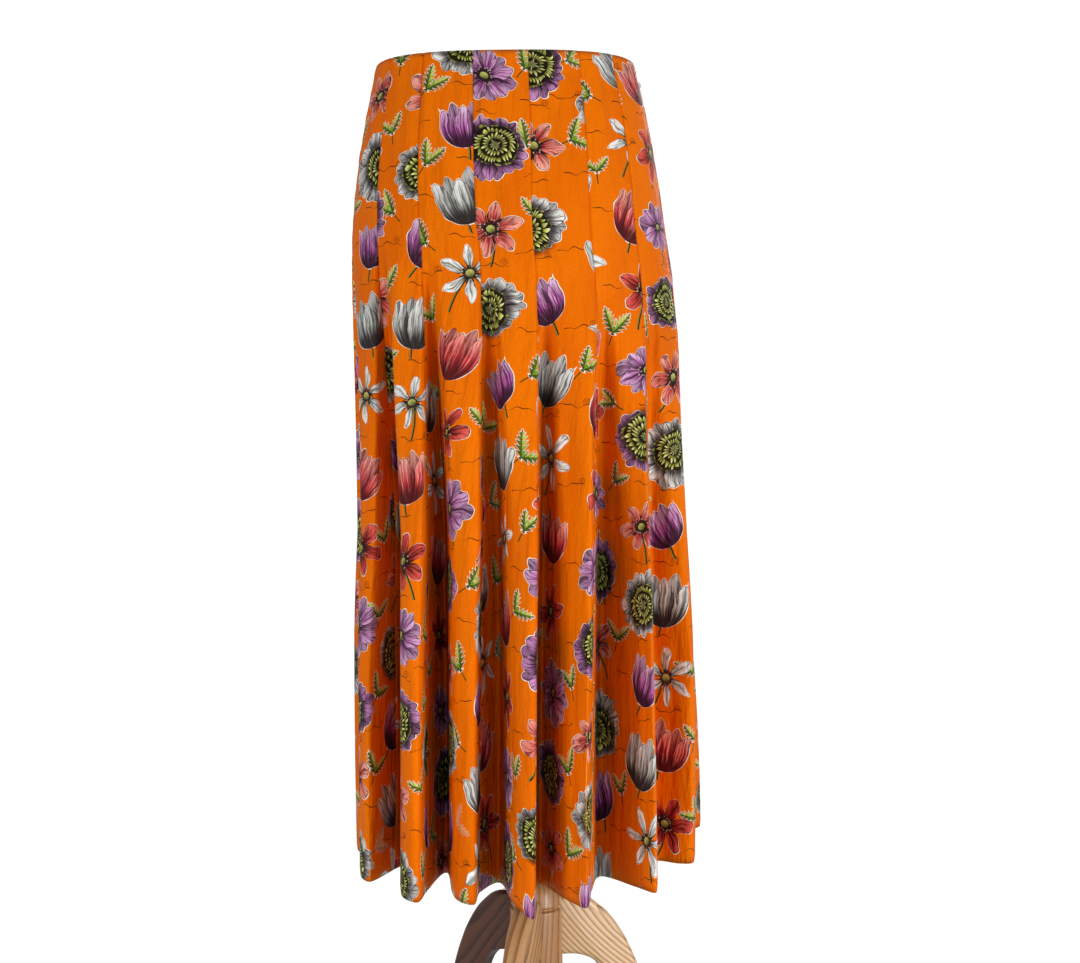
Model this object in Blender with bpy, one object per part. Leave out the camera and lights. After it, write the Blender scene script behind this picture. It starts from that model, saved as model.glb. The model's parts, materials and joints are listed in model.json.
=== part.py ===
"""Panelled midi skirt hanging in deep knife-like flutes on a limbless hip form with a tripod stand.

Metres, +Z up, front towards -Y. The cloth is one closed ring of wall cut into panels. Each
horizontal section blends from the form's rounded section, down to the level where the folds
begin, into a hem outline held by a table with one row per fold.
"""

import math

import bmesh
import bpy
import numpy as np

MM = 0.001

# ---- placing -------------------------------------------------------------------------------
POLE_X = -25.95 * MM  # pole axis in the row frame, whose origin is the middle of the floor plan
POLE_Y = 26.12 * MM
WAIST_Z = 1.040  # top edge of the skirt above the floor
SKIRT_LENGTH = 0.754

# ---- cloth ---------------------------------------------------------------------------------
WALL = 1.2 * MM
SEAM_GAP = 0.3 * MM
GORES = 16
ACROSS = 12  # strips across a panel
FOLD_EASE = 1.12  # over 1, the skirt flares more slowly under the hip
FOLD_LEAD = 1.5  # how far the folds' own relief runs ahead of the flare
FOLD_SPREAD = 0.5  # panels over which the hem line is averaged to find its flare without folds
HEM_SAMPLES = 50  # samples of the hem line per panel
# How far across a panel its seam, valley, shoulder, crest and next seam lie, at every level.
KNOT_ACROSS = (0.0, 0.12, 0.27, 0.92, 1.0)

# Body section that the cloth lies on. depth is below the waist edge, all in mm.
# shift is how far the section's middle lies to the right of the pole.
BODY_COLUMNS = ("depth", "half_width", "front", "back", "squareness", "shift")
BODY_ROWS = (
    (0, 124.0, 92.0, 92.0, 2.75, -21.0),
    (11, 125.5, 92.5, 92.5, 2.75, -21.0),
    (27, 129.0, 95.0, 95.5, 2.7, -21.0),
    (46, 133.5, 98.5, 99.5, 2.65, -20.5),
    (84, 140.5, 105.0, 108.0, 2.55, -20.5),
    (123, 146.0, 110.5, 116.0, 2.45, -20.0),
    (161, 150.0, 115.0, 121.0, 2.35, -19.0),
    (200, 153.0, 118.0, 124.0, 2.3, -16.0),
    (260, 153.5, 118.0, 124.0, 2.3, -12.5),
    (350, 149.5, 118.0, 124.0, 2.3, -11.0),
    (440, 147.0, 118.0, 124.0, 2.3, -8.2),
    (540, 151.0, 118.0, 124.0, 2.3, -8.0),
    (754, 151.0, 118.0, 124.0, 2.3, -6.0),
)

# Seams on the body section: share of the half girth from the centre front, at waist and hip.
SEAM_COLUMNS = ("waist_share", "hip_share")
SEAM_ROWS = (
    (0.070, 0.056),
    (0.200, 0.178),
    (0.300, 0.290),
    (0.440, 0.428),
    (0.560, 0.560),
    (0.680, 0.690),
    (0.805, 0.815),
    (0.932, 0.940),
)
SEAM_TURN = -3.0  # mm that every seam is turned round the body, to the viewer's left

# Hem outline in mm, one row per panel, going round from the centre front to the viewer's right.
# Each panel starts at its seam, drops into its valley, turns out at its shoulder and rolls
# over at its crest just before the next seam. x is to the right, out is towards the front.
# start is the depth where its folds begin, dip is how far its crest hangs below the hem level.
FOLD_COLUMNS = (
    "seam_x", "seam_out", "valley_x", "valley_out", "shoulder_x", "shoulder_out",
    "crest_x", "crest_out", "start", "dip",
)
FOLD_ROWS = (
    (-49, 132, -34, 98, -17, 178, -3, 189, 205, 8),
    (-1, 142, 4, 104, 23, 150, 43, 178, 215, 2),
    (50, 128, 60, 80, 88, 116, 105, 139, 205, 0),
    (109, 92, 115, 25, 134, 36, 147, 36, 205, 0),
    (149, 10, 106, -8, 146, -26, 157, -46, 205, 0),
    (157, -58, 104, -66, 151, -94, 171, -121, 210, 0),
    (161, -132, 101, -95, 118, -150, 108, -177, 205, 0),
    (96, -180, 66, -96, 68, -152, 52, -187, 205, 2),
    (39, -187, 16, -100, 12, -156, -6, -190, 200, 0),
    (-19, -187, -32, -96, -44, -150, -61, -182, 205, 3),
    (-74, -175, -73, -88, -94, -132, -111, -158, 195, 0),
    (-122, -147, -101, -76, -133, -100, -155, -111, 185, 1),
    (-164, -97, -110, -44, -155, -58, -174, -45, 175, 0),
    (-171, -22, -128, 2, -162, 61, -151, 91, 165, 0),
    (-131, 46, -122, 28, -117, 144, -103, 158, 180, 1),
    (-96, 122, -83, 61, -68, 158, -54, 168, 190, 1),
)

# Levels of the cloth's rings, in mm below the waist edge.
RING_DEPTHS = (0, 24, 52, 84, 118, 152, 186, 222, 262, 308, 366, 436, 520, 626, 754)

# ---- zip -----------------------------------------------------------------------------------
ZIP_SEAM = 4  # seam number that it closes, just behind the viewer's right side
ZIP_TOP = 6.0 * MM
ZIP_LENGTH = 0.180
TAPE_WIDTH = 22.0 * MM
TAPE_THICKNESS = 0.8 * MM
SLIDER_WIDTH = 6.4 * MM
SLIDER_HEIGHT = 9.0 * MM
SLIDER_THICKNESS = 1.8 * MM
PULL_LENGTH = 19.0 * MM
PULL_WIDTH = 6.0 * MM
PULL_THICKNESS = 1.1 * MM
LOOP_SPAN = 5.6 * MM
LOOP_RISE = 3.2 * MM
LOOP_WIRE = 0.45 * MM

# ---- form ----------------------------------------------------------------------------------
FORM_CLEAR = 2.6 * MM  # from the middle of the cloth's wall to the form
FORM_TOP = 4.0 * MM  # below the waist edge
# How far the block draws in below the hip: depth and inset in mm.
BLOCK_COLUMNS = ("depth", "inset")
BLOCK_ROWS = (
    (4, 5.0), (5, 2.2), (7, 0.6), (10, 0.0), (27, 0.0), (46, 0.0), (84, 0.0), (123, 0.0),
    (150, 0.0), (175, 2.0), (200, 7.0), (225, 14.0), (248, 22.0), (264, 31.0), (274, 42.0),
    (279, 56.0),
)
POLE_RADIUS = 15.0 * MM

# ---- stand ---------------------------------------------------------------------------------
GROOVE_DEPTH = 0.801  # level of the hub's groove below the waist edge
HUB_RADIUS = 25.0 * MM
# Hub profile from the collar's top down to the foot: radius and height above the groove in mm.
HUB_COLUMNS = ("radius", "rise")
HUB_ROWS = (
    (0.0, 25.0), (11.0, 25.0), (15.5, 23.6), (19.0, 20.0), (21.6, 13.5), (23.4, 6.0),
    (24.2, 2.6), (23.6, 1.0), (21.8, 0.4), (21.6, -0.8), (23.0, -1.8), (25.0, -2.6),
    (25.0, -62.0), (23.0, -66.0), (16.0, -69.0), (0.0, -70.0),
)
LEG_THICKNESS = 22.0 * MM
LEG_EDGE = 6.0 * MM
LEG_GAP = 0.3 * MM
LEG_TURNS = {"stand_leg_front": -15.0, "stand_leg_right": 105.0, "stand_leg_left": 228.0}
# Leg outline in its own plane: reach from the pole and height above the groove, in mm.
LEG_OUTER = (
    (16, 9), (36, 9.5), (50, 5.5), (60, -1.5), (70, -10.5), (79, -22), (87.5, -35.5),
    (94, -49), (99.5, -62), (105, -78), (111, -96), (119, -117), (131, -140), (148, -163),
    (170, -183), (196, -198), (222, -208), (240, -214), (247, -221), (249, -229),
)
LEG_INNER = (
    (248, -239), (205, -239), (180, -236), (155, -228), (132, -214), (112, -194), (96, -169),
    (86, -143), (79, -118), (74, -97), (69.5, -80), (63, -65), (54.5, -55.5), (45, -51),
    (34, -48.5), (16, -48),
)


def columns(names, rows):
    """Turns a table into one numpy column per name."""
    table = np.array(rows, dtype=float)
    return {name: table[:, i] for i, name in enumerate(names)}


BODY = columns(BODY_COLUMNS, BODY_ROWS)
SEAMS = columns(SEAM_COLUMNS, SEAM_ROWS)
FOLDS = columns(FOLD_COLUMNS, FOLD_ROWS)


# ---- the cloth's surface -------------------------------------------------------------------
def body_section(depth, inset=0.0, count=721):
    """Closed section of the body from centre front to the right, with its girth so far."""
    half_width = np.interp(depth, BODY["depth"], BODY["half_width"]) - inset
    front = np.interp(depth, BODY["depth"], BODY["front"]) - inset
    back = np.interp(depth, BODY["depth"], BODY["back"]) - inset
    power = 2.0 / np.interp(depth, BODY["depth"], BODY["squareness"])
    turn = np.linspace(0.0, 2.0 * math.pi, count)
    sine = np.sin(turn)
    cosine = np.cos(turn)
    shift = np.interp(depth, BODY["depth"], BODY["shift"])
    x = shift + half_width * np.sign(sine) * np.abs(sine) ** power
    out = np.where(cosine > 0.0, front, back) * np.sign(cosine) * np.abs(cosine) ** power
    steps = np.hypot(np.diff(x), np.diff(out))
    girth = np.concatenate([[0.0], np.cumsum(steps)])
    return x, out, girth


def seam_share(depth):
    """Shares of the whole girth at which the seams lie, one per panel and the first again."""
    mix = min(max(depth / 180.0, 0.0), 1.0)
    half = SEAMS["waist_share"] * (1.0 - mix) + SEAMS["hip_share"] * mix
    right = half * 0.5
    left = 1.0 - right[::-1]
    return np.concatenate([[-right[0]], right, left])


def on_section(section, share):
    """Point of a section at a share of its girth."""
    x, out, girth = section
    length = (share * girth[-1] + SEAM_TURN) % girth[-1]
    return np.array([np.interp(length, girth, x), np.interp(length, girth, out)])


def spline_point(a, b, c, d, t):
    """Point of a centripetal spline between b and c."""
    knots = [0.0]
    for first, second in ((a, b), (b, c), (c, d)):
        knots.append(knots[-1] + max(np.linalg.norm(second - first), 1e-6) ** 0.5)
    place = knots[1] + (knots[2] - knots[1]) * t

    def between(first, second, low, high):
        share = (place - knots[low]) / (knots[high] - knots[low])
        return first * (1.0 - share) + second * share

    ab = between(a, b, 0, 1)
    bc = between(b, c, 1, 2)
    cd = between(c, d, 2, 3)
    return between(between(ab, bc, 0, 2), between(bc, cd, 1, 3), 1, 2)


def hem_panels(steps=14):
    """For every panel, its hem as a fine line with the place across the panel of each point."""
    knots = []
    for i in range(GORES):
        row = {name: FOLDS[name][i] for name in FOLD_COLUMNS}
        for part in ("seam", "valley", "shoulder", "crest"):
            dip = row["dip"] if part == "crest" else 0.0
            knots.append(np.array([row[part + "_x"], row[part + "_out"], -dip]))
    count = len(knots)
    panels = []
    for i in range(GORES):
        line = []
        across = []
        for j in range(4):
            at = 4 * i + j
            four = [knots[(at + k) % count] for k in (-1, 0, 1, 2)]
            for step in range(steps):
                line.append(spline_point(*four, step / steps))
                gap = KNOT_ACROSS[j + 1] - KNOT_ACROSS[j]
                across.append(KNOT_ACROSS[j] + gap * step / steps)
        line.append(knots[(4 * i + 4) % count])
        across.append(1.0)
        panels.append((np.array(line), np.array(across)))
    return panels


def flare_ring(panels):
    """Hem line averaged round the ring: the flare that is left when its folds are taken out."""
    across = np.arange(HEM_SAMPLES) / HEM_SAMPLES
    ring = []
    for line, place in panels:
        ring.append(np.stack([np.interp(across, place, line[:, k]) for k in (0, 1)], axis=1))
    ring = np.concatenate(ring)
    count = len(ring)
    steps = np.arange(count)
    gap = np.minimum(steps, count - steps) / (FOLD_SPREAD * HEM_SAMPLES)
    weights = np.exp(-0.5 * gap * gap)
    weights = weights / weights.sum()
    mean = np.fft.ifft(np.fft.fft(ring, axis=0) * np.fft.fft(weights)[:, None], axis=0)
    return np.concatenate([mean.real, mean.real[:1]])


HEM = hem_panels()
FLARE = flare_ring(HEM)


def cloth_point(panel, across, depth):
    """Middle of the wall, in mm from the pole's axis and the waist edge. across may pass 0 or 1."""
    while across < 0.0:
        panel, across = (panel - 1) % GORES, across + 1.0
    while across > 1.0:
        panel, across = (panel + 1) % GORES, across - 1.0
    shares = seam_share(depth)
    section = body_section(depth)
    share = shares[panel] + (shares[panel + 1] - shares[panel]) * across
    body = on_section(section, share)
    here = FOLDS["start"][panel]
    after = FOLDS["start"][(panel + 1) % GORES]
    before = FOLDS["start"][panel - 1]
    at_start = 0.5 * (before + here)
    at_end = 0.5 * (here + after)
    start = at_start + (at_end - at_start) * across
    full = SKIRT_LENGTH / MM
    open_share = max(0.0, (depth - start) / (full - start)) ** FOLD_EASE
    line, hem_across = HEM[panel]
    hem = np.array([np.interp(across, hem_across, line[:, k]) for k in range(3)])
    place = (panel + across) * HEM_SAMPLES
    flare = np.array([np.interp(place, np.arange(len(FLARE)), FLARE[:, k]) for k in (0, 1)])
    fold_share = open_share * (1.0 + FOLD_LEAD * (1.0 - open_share))
    x, out = body + (flare - body) * open_share + (hem[:2] - flare) * fold_share
    return np.array([x, -out, -depth + hem[2] * open_share])


def cloth_normal(panel, across, depth):
    """Outward normal of the surface, the same from both sides of a seam."""
    full = SKIRT_LENGTH / MM
    left = cloth_point(panel, across - 0.02, depth)
    right = cloth_point(panel, across + 0.02, depth)
    above = cloth_point(panel, across, max(depth - 4.0, 0.0))
    below = cloth_point(panel, across, min(depth + 4.0, full))
    normal = np.cross(right - left, above - below)
    return normal / np.linalg.norm(normal)


def placed(point):
    """Row-frame place of a point in mm from the pole's axis and the waist edge."""
    return (POLE_X + point[0] * MM, POLE_Y + point[1] * MM, WAIST_Z + point[2] * MM)


# ---- making objects ------------------------------------------------------------------------
def new_object(name, mesh_data, collection):
    obj = bpy.data.objects.new(name, mesh_data)
    collection.objects.link(obj)
    return obj


def give_material(obj, name, colour, roughness, metallic=0.0):
    material = bpy.data.materials.get(name)
    if material is None:
        material = bpy.data.materials.new(name)
        material.use_nodes = True
        shader = material.node_tree.nodes["Principled BSDF"]
        shader.inputs["Base Color"].default_value = (*colour, 1.0)
        shader.inputs["Roughness"].default_value = roughness
        shader.inputs["Metallic"].default_value = metallic
    obj.data.materials.append(material)


def mesh_of(name, verts, faces):
    mesh_data = bpy.data.meshes.new(name)
    mesh_data.from_pydata(verts, [], faces)
    mesh_data.update()
    return mesh_data


def wall_mesh(name, outer, inner):
    """Closed wall between two grids of the same size, rows first."""
    rows = len(outer)
    across = len(outer[0])
    verts = [p for row in outer for p in row] + [p for row in inner for p in row]
    half = rows * across
    faces = []
    for r in range(rows - 1):
        for c in range(across - 1):
            a = r * across + c
            b = a + 1
            d = a + across
            e = d + 1
            faces.append((a, d, e, b))
            faces.append((half + a, half + b, half + e, half + d))
    for c in range(across - 1):
        top = c
        faces.append((top, top + 1, half + top + 1, half + top))
        low = (rows - 1) * across + c
        faces.append((low, half + low, half + low + 1, low + 1))
    for r in range(rows - 1):
        left = r * across
        faces.append((left, half + left, half + left + across, left + across))
        right = left + across - 1
        faces.append((right, right + across, half + right + across, half + right))
    return mesh_of(name, verts, faces)


def across_stations(panel):
    """Stations across a panel, closer together where its hem bends most."""
    line, hem_across = HEM[panel]
    inner = np.linspace(0.0, 1.0, ACROSS + 1)
    steps = np.linspace(0.0, 1.0, 201)
    x = np.interp(steps, hem_across, line[:, 0])
    y = np.interp(steps, hem_across, line[:, 1])
    heading = np.unwrap(np.arctan2(np.diff(y), np.diff(x)))
    bend = np.abs(np.diff(heading))
    run = np.hypot(np.diff(x), np.diff(y))[1:]
    share = 0.45 * bend / bend.sum() + 0.35 * run / run.sum() + 0.20 / len(bend)
    weight = np.concatenate([[0.0], np.cumsum(share)])
    spots = 0.5 * (steps[:-1] + steps[1:])
    picked = np.interp(inner, weight / weight[-1], spots)
    picked[0] = 0.0
    picked[-1] = 1.0
    return picked


def build_gore(panel, collection):
    name = "gore_%02d" % panel
    outer = []
    inner = []
    stations = across_stations(panel)
    for depth in RING_DEPTHS:
        middle = [cloth_point(panel, s, depth) for s in stations]
        normals = [cloth_normal(panel, s, depth) for s in stations]
        for end, other in ((0, 1), (-1, -2)):
            along = middle[other] - middle[end]
            along = along / np.linalg.norm(along)
            middle[end] = middle[end] + along * (SEAM_GAP / MM / 2.0)
        half = WALL / MM / 2.0
        outer.append([placed(m + n * half) for m, n in zip(middle, normals)])
        inner.append([placed(m - n * half) for m, n in zip(middle, normals)])
    obj = new_object(name, wall_mesh(name, outer, inner), collection)
    give_material(obj, "printed_cloth", (0.93, 0.22, 0.01), 0.55)
    return obj


def build_zip_tape(collection):
    """Strip inside the cloth along one seam."""
    outer = []
    inner = []
    depths = np.linspace(ZIP_TOP / MM, (ZIP_TOP + ZIP_LENGTH) / MM, 9)
    gap = WALL / MM / 2.0 + 0.35
    for depth in depths:
        girth = body_section(depth)[2][-1]
        shares = seam_share(depth)
        at = shares[ZIP_SEAM + 1]
        ring_outer = []
        ring_inner = []
        for k in np.linspace(-0.5, 0.5, 7):
            share = at + k * TAPE_WIDTH / MM / girth
            point, normal = body_place(depth, share)
            ring_outer.append(placed(point - normal * gap))
            ring_inner.append(placed(point - normal * (gap + TAPE_THICKNESS / MM)))
        outer.append(ring_outer)
        inner.append(ring_inner)
    obj = new_object("zip_tape", wall_mesh("zip_tape", outer, inner), collection)
    give_material(obj, "zip_tape", (0.80, 0.20, 0.03), 0.7)
    return obj


def body_place(depth, share):
    """Point and outward normal of the unfolded body section."""
    section = body_section(depth)
    lower = body_section(depth + 2.0)
    upper = body_section(max(depth - 2.0, 0.0))
    here = on_section(section, share)
    left = on_section(section, share - 0.003)
    right = on_section(section, share + 0.003)
    low = on_section(lower, share)
    high = on_section(upper, share)
    along = np.array([right[0] - left[0], -(right[1] - left[1]), 0.0])
    rise = np.array([high[0] - low[0], -(high[1] - low[1]), 4.0 if depth >= 2.0 else 2.0 + depth])
    normal = np.cross(along, rise)
    normal = normal / np.linalg.norm(normal)
    return np.array([here[0], -here[1], -depth]), normal


def zip_frame():
    """Place of the slider's middle on the cloth's outer face and its three directions."""
    depth = (ZIP_TOP + SLIDER_HEIGHT / 2.0) / MM
    share = seam_share(depth)[ZIP_SEAM + 1]
    point, normal = body_place(depth, share)
    lower, _ = body_place(depth + PULL_LENGTH / MM, share)
    up = (point - lower) / np.linalg.norm(point - lower)
    side = np.cross(up, normal)
    side = side / np.linalg.norm(side)
    outward = np.cross(side, up)
    return np.array(placed(point)), outward, up, side


def box_between(bm, low, high, frame):
    """Box in a frame of (origin, outward, up, side), corners as (outward, up, side)."""
    origin, outward, up, side = frame
    verts = []
    for o in (low[0], high[0]):
        for u in (low[1], high[1]):
            for s in (low[2], high[2]):
                verts.append(bm.verts.new(origin + outward * o + up * u + side * s))
    order = ((0, 1, 3, 2), (4, 6, 7, 5), (0, 4, 5, 1), (2, 3, 7, 6), (0, 2, 6, 4), (1, 5, 7, 3))
    for face in order:
        bm.faces.new([verts[i] for i in face])
    return verts


def bar_along(bm, path, radius, frame, sides=8):
    """Round bar through a path of (outward, up) points, with the frame's side as its binormal."""
    origin, outward, up, side = frame
    rings = []
    count = len(path)
    for i, (o, u) in enumerate(path):
        before = path[max(i - 1, 0)]
        after = path[min(i + 1, count - 1)]
        heading = outward * (after[0] - before[0]) + up * (after[1] - before[1])
        heading = heading / np.linalg.norm(heading)
        across = np.cross(heading, side)
        ring = []
        for k in range(sides):
            turn = 2.0 * math.pi * k / sides
            spot = origin + outward * o + up * u
            spot = spot + (across * math.cos(turn) + side * math.sin(turn)) * radius
            ring.append(bm.verts.new(spot))
        rings.append(ring)
    for first, second in zip(rings, rings[1:]):
        for k in range(sides):
            j = (k + 1) % sides
            bm.faces.new((first[k], first[j], second[j], second[k]))
    bm.faces.new(rings[0][::-1])
    bm.faces.new(rings[-1])


def finish_bmesh(bm, name, collection):
    bmesh.ops.recalc_face_normals(bm, faces=bm.faces)
    mesh_data = bpy.data.meshes.new(name)
    bm.to_mesh(mesh_data)
    bm.free()
    return new_object(name, mesh_data, collection)


def loop_path():
    """Loop over the slider's face, as (outward, up) from the slider's middle."""
    base = SLIDER_BASE + SLIDER_THICKNESS
    foot = LOOP_SPAN / 2.0
    return (
        (base - 0.4 * MM, foot),
        (base + LOOP_RISE * 0.45, foot),
        (base + LOOP_RISE * 0.82, foot * 0.86),
        (base + LOOP_RISE, foot * 0.5),
        (base + LOOP_RISE, -foot * 0.5),
        (base + LOOP_RISE * 0.82, -foot * 0.86),
        (base + LOOP_RISE * 0.45, -foot),
        (base - 0.4 * MM, -foot),
    )


SLIDER_BASE = WALL / 2.0 + 0.7 * MM


def build_slider(collection, cutters):
    frame = zip_frame()
    bm = bmesh.new()
    half_up = SLIDER_HEIGHT / 2.0
    half_side = SLIDER_WIDTH / 2.0
    low = (SLIDER_BASE, -half_up, -half_side)
    high = (SLIDER_BASE + SLIDER_THICKNESS, half_up, half_side)
    box_between(bm, low, high, frame)
    bmesh.ops.recalc_face_normals(bm, faces=bm.faces)
    bmesh.ops.bevel(
        bm, geom=bm.edges[:], offset=0.5 * MM, segments=2, profile=0.5, affect="EDGES", material=-1
    )
    slider = finish_bmesh(bm, "zip_slider", collection)
    bm = bmesh.new()
    bar_along(bm, loop_path(), LOOP_WIRE, frame)
    loop = finish_bmesh(bm, "slider_loop_tool", cutters)
    loop.hide_render = True
    join = slider.modifiers.new("loop", "BOOLEAN")
    join.operation = "UNION"
    join.solver = "EXACT"
    join.object = loop
    give_material(slider, "zip_metal", (0.62, 0.60, 0.56), 0.35, 1.0)
    return slider


def pull_axis():
    """Middle of the pull's crossbar: (outward, up) from the slider's middle."""
    return SLIDER_BASE + SLIDER_THICKNESS + 1.45 * MM, 0.7 * MM


def build_pull(collection):
    """Flat tab with a long eye. It hangs from a bar under the slider's loop."""
    frame = zip_frame()
    origin, outward, up, side = frame
    at_out, at_up = pull_axis()
    half = PULL_WIDTH / 2.0
    outline = []
    top = 0.6 * MM
    flank = (
        (top, 0.62), (top - 0.5 * MM, 0.74), (-3.4 * MM, 0.70), (-6.2 * MM, 0.55), (-9.0 * MM, 0.66),
    )
    for u, s in flank:
        outline.append((u, s * half))
    for k in range(7):
        turn = math.pi * 0.5 * k / 6.0
        outline.append((-(PULL_LENGTH - half) - half * math.sin(turn), half * math.cos(turn)))
    right = outline
    left = [(u, -s) for u, s in reversed(outline) if s > 1e-6]
    rim = right + left
    eye_half = 1.15 * MM
    eye_top = -0.6 * MM
    eye_low = -5.4 * MM
    eye = [
        (eye_top, eye_half * 0.7),
        (eye_top - 0.4 * MM, eye_half),
        (eye_low + 0.5 * MM, eye_half * 0.9),
        (eye_low, eye_half * 0.5),
        (eye_low, -eye_half * 0.5),
        (eye_low + 0.5 * MM, -eye_half * 0.9),
        (eye_top - 0.4 * MM, -eye_half),
        (eye_top, -eye_half * 0.7),
    ]
    bm = bmesh.new()
    back = at_out - PULL_THICKNESS / 2.0

    def loop_edges(points):
        start = origin + outward * back
        verts = [bm.verts.new(start + up * (at_up + u) + side * s) for u, s in points]
        return [bm.edges.new(pair) for pair in zip(verts, verts[1:] + verts[:1])]

    edges = loop_edges(rim) + loop_edges(eye)
    filled = bmesh.ops.triangle_fill(bm, use_beauty=True, use_dissolve=False, edges=edges)
    faces = [g for g in filled["geom"] if isinstance(g, bmesh.types.BMFace)]
    raised = bmesh.ops.extrude_face_region(bm, geom=faces)
    moved = [g for g in raised["geom"] if isinstance(g, bmesh.types.BMVert)]
    bmesh.ops.translate(bm, verts=moved, vec=tuple(outward * PULL_THICKNESS))
    obj = finish_bmesh(bm, "zip_pull", collection)
    give_material(obj, "zip_metal", (0.62, 0.60, 0.56), 0.35, 1.0)
    return obj


def build_block(collection):
    """Hip form: rings on the body section, drawn in at the top rim and below the hip."""
    count = 56
    rings = []
    for depth, inset in BLOCK_ROWS:
        ring = []
        section = body_section(depth, FORM_CLEAR / MM + inset)
        for k in range(count):
            spot = on_section(section, k / count)
            ring.append(placed(np.array([spot[0], -spot[1], -depth])))
        rings.append(ring)
    verts = [p for ring in rings for p in ring]
    faces = []
    for r in range(len(rings) - 1):
        for k in range(count):
            j = (k + 1) % count
            faces.append((r * count + k, (r + 1) * count + k, (r + 1) * count + j, r * count + j))
    faces.append(tuple(range(count)))
    last = (len(rings) - 1) * count
    faces.append(tuple(reversed(range(last, last + count))))
    obj = new_object("form_block", mesh_of("form_block", verts, faces), collection)
    give_material(obj, "form_cover", (0.78, 0.74, 0.66), 0.8)
    return obj


def build_pole(collection):
    top = WAIST_Z - (BLOCK_ROWS[-1][0] + 0.3) * MM
    low = WAIST_Z - GROOVE_DEPTH + (HUB_ROWS[0][1] + 0.3) * MM
    bm = bmesh.new()
    bmesh.ops.create_cone(
        bm, cap_ends=True, segments=32, radius1=POLE_RADIUS, radius2=POLE_RADIUS, depth=top - low
    )
    bmesh.ops.translate(bm, verts=bm.verts, vec=(POLE_X, POLE_Y, (top + low) / 2.0))
    obj = finish_bmesh(bm, "form_pole", collection)
    give_material(obj, "form_pole_wood", (0.60, 0.42, 0.24), 0.45)
    return obj


def build_hub(collection):
    """Turned hub: its profile spun about the pole's axis."""
    groove_z = WAIST_Z - GROOVE_DEPTH
    bm = bmesh.new()
    verts = [bm.verts.new((POLE_X + r * MM, POLE_Y, groove_z + h * MM)) for r, h in HUB_ROWS]
    edges = [bm.edges.new(pair) for pair in zip(verts, verts[1:])]
    bmesh.ops.spin(
        bm, geom=verts + edges, cent=(POLE_X, POLE_Y, 0.0), axis=(0, 0, 1),
        angle=2.0 * math.pi, steps=32, use_merge=True,
    )
    bmesh.ops.remove_doubles(bm, verts=bm.verts, dist=1e-6)
    obj = finish_bmesh(bm, "stand_hub", collection)
    give_material(obj, "stand_wood", (0.62, 0.42, 0.22), 0.4)
    return obj


def build_leg(name, turn_deg, collection, hub_tool):
    """Curved leg: its outline raised to a board, edges eased, its inner end hollowed for the hub."""
    groove_z = WAIST_Z - GROOVE_DEPTH
    turn = math.radians(turn_deg)
    outward = np.array([math.sin(turn), -math.cos(turn), 0.0])
    side = np.array([math.cos(turn), math.sin(turn), 0.0])
    centre = np.array([POLE_X, POLE_Y, groove_z])
    bm = bmesh.new()
    outline = list(LEG_OUTER) + list(LEG_INNER)
    base = centre - side * LEG_THICKNESS / 2.0
    rise = np.array([0.0, 0.0, MM])
    verts = [bm.verts.new(base + outward * r * MM + rise * h) for r, h in outline]
    face = bm.faces.new(verts)
    raised = bmesh.ops.extrude_face_region(bm, geom=[face])
    moved = [g for g in raised["geom"] if isinstance(g, bmesh.types.BMVert)]
    bmesh.ops.translate(bm, verts=moved, vec=tuple(side * LEG_THICKNESS))
    bmesh.ops.recalc_face_normals(bm, faces=bm.faces)
    rims = [e for e in bm.edges if max(len(f.verts) for f in e.link_faces) > 4]
    bmesh.ops.bevel(
        bm, geom=rims, offset=LEG_EDGE, segments=2, profile=0.5, affect="EDGES", material=-1
    )
    obj = finish_bmesh(bm, name, collection)
    cut = obj.modifiers.new("hub_seat", "BOOLEAN")
    cut.operation = "DIFFERENCE"
    cut.solver = "EXACT"
    cut.object = hub_tool
    give_material(obj, "stand_wood", (0.62, 0.42, 0.22), 0.4)
    return obj


def main():
    for obj in list(bpy.data.objects):
        bpy.data.objects.remove(obj, do_unlink=True)
    scene = bpy.context.scene
    parts = bpy.data.collections.new("pleated_midi_skirt_on_form")
    cutters = bpy.data.collections.new("cutters")
    scene.collection.children.link(parts)
    scene.collection.children.link(cutters)

    for panel in range(GORES):
        build_gore(panel, parts)
    build_zip_tape(parts)
    build_slider(parts, cutters)
    build_pull(parts)
    build_block(parts)
    build_pole(parts)
    build_hub(parts)

    bm = bmesh.new()
    seat = HUB_RADIUS + LEG_GAP
    bmesh.ops.create_cone(bm, cap_ends=True, segments=48, radius1=seat, radius2=seat, depth=0.2)
    bmesh.ops.translate(bm, verts=bm.verts, vec=(POLE_X, POLE_Y, WAIST_Z - GROOVE_DEPTH - 0.03))
    hub_tool = finish_bmesh(bm, "hub_seat_tool", cutters)
    hub_tool.hide_render = True
    for name, turn_deg in LEG_TURNS.items():
        build_leg(name, turn_deg, parts, hub_tool)


main()
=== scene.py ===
"""Flower-printed midi skirt in hanging pleats on a hip form, with a wooden tripod stand.

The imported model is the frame. Each cloth panel is a thin shell on its solid's form, with the
finer creases, turned edges and sewn seams added, and the print is worked out in the material.
Metres, +Z up, front towards -Y.
"""

from __future__ import annotations

import json
import logging
import math
from dataclasses import dataclass, replace
from enum import Enum
from functools import lru_cache
from typing import Sequence

import bmesh
import bpy
import numpy as np
from mathutils import Matrix, Vector

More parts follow.
